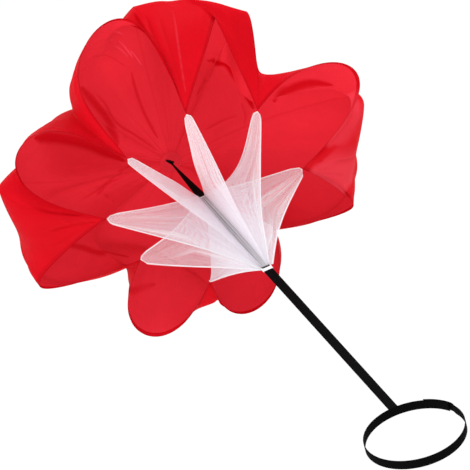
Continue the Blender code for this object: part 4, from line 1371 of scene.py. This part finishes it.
def place_on_cloth(gore, u, down):
    """Point of the smooth cloth at a share across a gore and a share of its rows down from the crown."""
    row = down * (sheet_rows - 1)
    column = (u + 1) / 2 * GORE_COLUMNS
    i, j = int(min(row, sheet_rows - 2)), int(min(column, GORE_COLUMNS - 1))
    grid = gores[gore]
    top = grid[i, j] * (1 - column + j) + grid[i, j + 1] * (column - j)
    low = grid[i + 1, j] * (1 - column + j) + grid[i + 1, j + 1] * (column - j)
    return top * (1 - row + i) + low * (row - i)


def nearest_on_line(points, line):
    """Distance of each point from a line, and how far along the line it is nearest, as a share."""
    runs = running_length(line, 0)
    best = np.full(points.shape[:2], np.inf)
    place_along = np.zeros(points.shape[:2])
    for k in range(len(line) - 1):
        step = line[k + 1] - line[k]
        share = np.clip(((points - line[k]) @ step) / (step @ step), 0.0, 1.0)
        gap = np.linalg.norm(points - line[k] - share[..., None] * step, axis=-1)
        closer = gap < best
        best[closer] = gap[closer]
        place_along[closer] = (runs[k] + share * (runs[k + 1] - runs[k]))[closer] / runs[-1]
    return best, place_along


# Maps of nearness to each fold: painted shade for tones above zero, painted highlights for tones below.
fold_shade_map = np.zeros((sheet_rows, sheet_columns, 2))
fold_shade_map[..., 0] = FAR_FROM_FOLDS
highlight_map = fold_shade_map.copy()
gore_of_column = np.arange(sheet_columns) // GORE_COLUMNS
for fold_width, rise, dark, places in FOLDS:
    knots = np.array([place_on_cloth(*place) for place in places])
    knots = np.concatenate([2 * knots[:1] - knots[1:2], knots, 2 * knots[-1:] - knots[-2:-1]])
    line = smooth_lines(list(knots), FOLD_LINE_STEPS)[FOLD_LINE_STEPS:-FOLD_LINE_STEPS]
    near = sorted({(place[0] + step) % CORNERS for place in places for step in (-1, 0, 1)})
    columns = np.nonzero(np.isin(gore_of_column, near))[0]
    gap, place_along = nearest_on_line(sheet[:, columns], line)
    taper = np.clip(np.minimum(place_along, 1 - place_along) / FOLD_END_LENGTH, 0.0, 1.0) ** FOLD_END_POWER
    ratio = gap / (fold_width * (FOLD_END_WIDTH + (1 - FOLD_END_WIDTH) * taper))
    wrinkles[:, columns] += rise * taper * np.exp(-(ratio**2) * 0.9)
    kept = fold_shade_map if dark > 0 else highlight_map
    part = kept[:, columns]
    nearest = ratio < part[..., 0]
    part[nearest] = np.stack([ratio, np.full_like(ratio, abs(dark))], axis=-1)[nearest]
    kept[:, columns] = part

sheet = sheet + normals * wrinkles[..., None]

# The free edge is turned in and sewn down, so the last 10 mm lie double.
HEM_PLACES = (0.0, 0.0012, 0.0035, 0.0065, 0.0090, 0.010)
HEM_LIFTS = (0.0000, 0.0009, 0.0010, 0.0010, 0.0010, 0.0003)

hem_rows = np.zeros((len(HEM_PLACES), sheet_columns, 3))
for column in range(sheet_columns):
    gore, j = divmod(column, GORE_COLUMNS)
    from_rim = edge_map[gore, ::-1, j, 1]
    for row, (place, lift) in enumerate(zip(HEM_PLACES, HEM_LIFTS)):
        lifted = (sheet[:, column] - normals[:, column] * lift)[::-1]
        hem_rows[row, column] = [np.interp(place, from_rim, lifted[:, axis]) for axis in range(3)]
sheet = np.concatenate([sheet, hem_rows]) + np.array([0.0, 0.0, FOLD_HEIGHT])

turned_cloth = np.repeat(cloth_map[:, -1:], len(HEM_PLACES), axis=1)
turned_cloth[..., 1] -= np.array(HEM_PLACES)[:, None]
turned_edges = np.repeat(edge_map[:, -1:], len(HEM_PLACES), axis=1)
turned_edges[..., 1] = np.array(HEM_PLACES)[:, None]
cloth_map = np.concatenate([cloth_map, turned_cloth], axis=1)
edge_map = np.concatenate([edge_map, turned_edges], axis=1)
fold_shade_map = np.concatenate([fold_shade_map, np.repeat(fold_shade_map[-1:], len(HEM_PLACES), axis=0)])
highlight_map = np.concatenate([highlight_map, np.repeat(highlight_map[-1:], len(HEM_PLACES), axis=0)])

# Each gore keeps its own place on the cloth, so the maps part at the seams.
FACE_CORNERS = ((0, 0), (0, 1), (1, 1), (1, 0))

rows, columns = np.indices((len(sheet) - 1, sheet_columns)).reshape(2, -1)
of_gore, in_gore = np.divmod(columns, GORE_COLUMNS)


def on_sheet(values):
    """Values at the four corners of every face, from a map of the whole sheet."""
    return [values[rows + i, (columns + j) % sheet_columns] for i, j in FACE_CORNERS]


def on_gores(values):
    """Values at the four corners of every face, from a map of its own gore."""
    return [values[of_gore, rows + i, in_gore + j] for i, j in FACE_CORNERS]


point_numbers = np.arange(len(sheet) * sheet_columns).reshape(-1, sheet_columns)
faces = np.stack(on_sheet(point_numbers), axis=-1)
canopy_mesh = bpy.data.meshes.new("canopy_cloth")
canopy_mesh.from_pydata(sheet.reshape(-1, 3).tolist(), [], faces.tolist())
canopy_maps = {"cloth": on_gores(cloth_map), "edges": on_gores(edge_map)}
canopy_maps |= {"folds": on_sheet(fold_shade_map), "highlights": on_sheet(highlight_map)}
for layer_name, values in canopy_maps.items():
    layer = canopy_mesh.uv_layers.new(name=layer_name)
    layer.data.foreach_set("uv", np.stack(values, axis=1).astype(np.float32).ravel())
canopy_mesh.shade_smooth()
canopy = add_piece("canopy_cloth", canopy_mesh, canopy_cloth)
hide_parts(*[f"canopy_gore_{gore + 1}" for gore in range(CORNERS)])
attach(canopy, "chute")
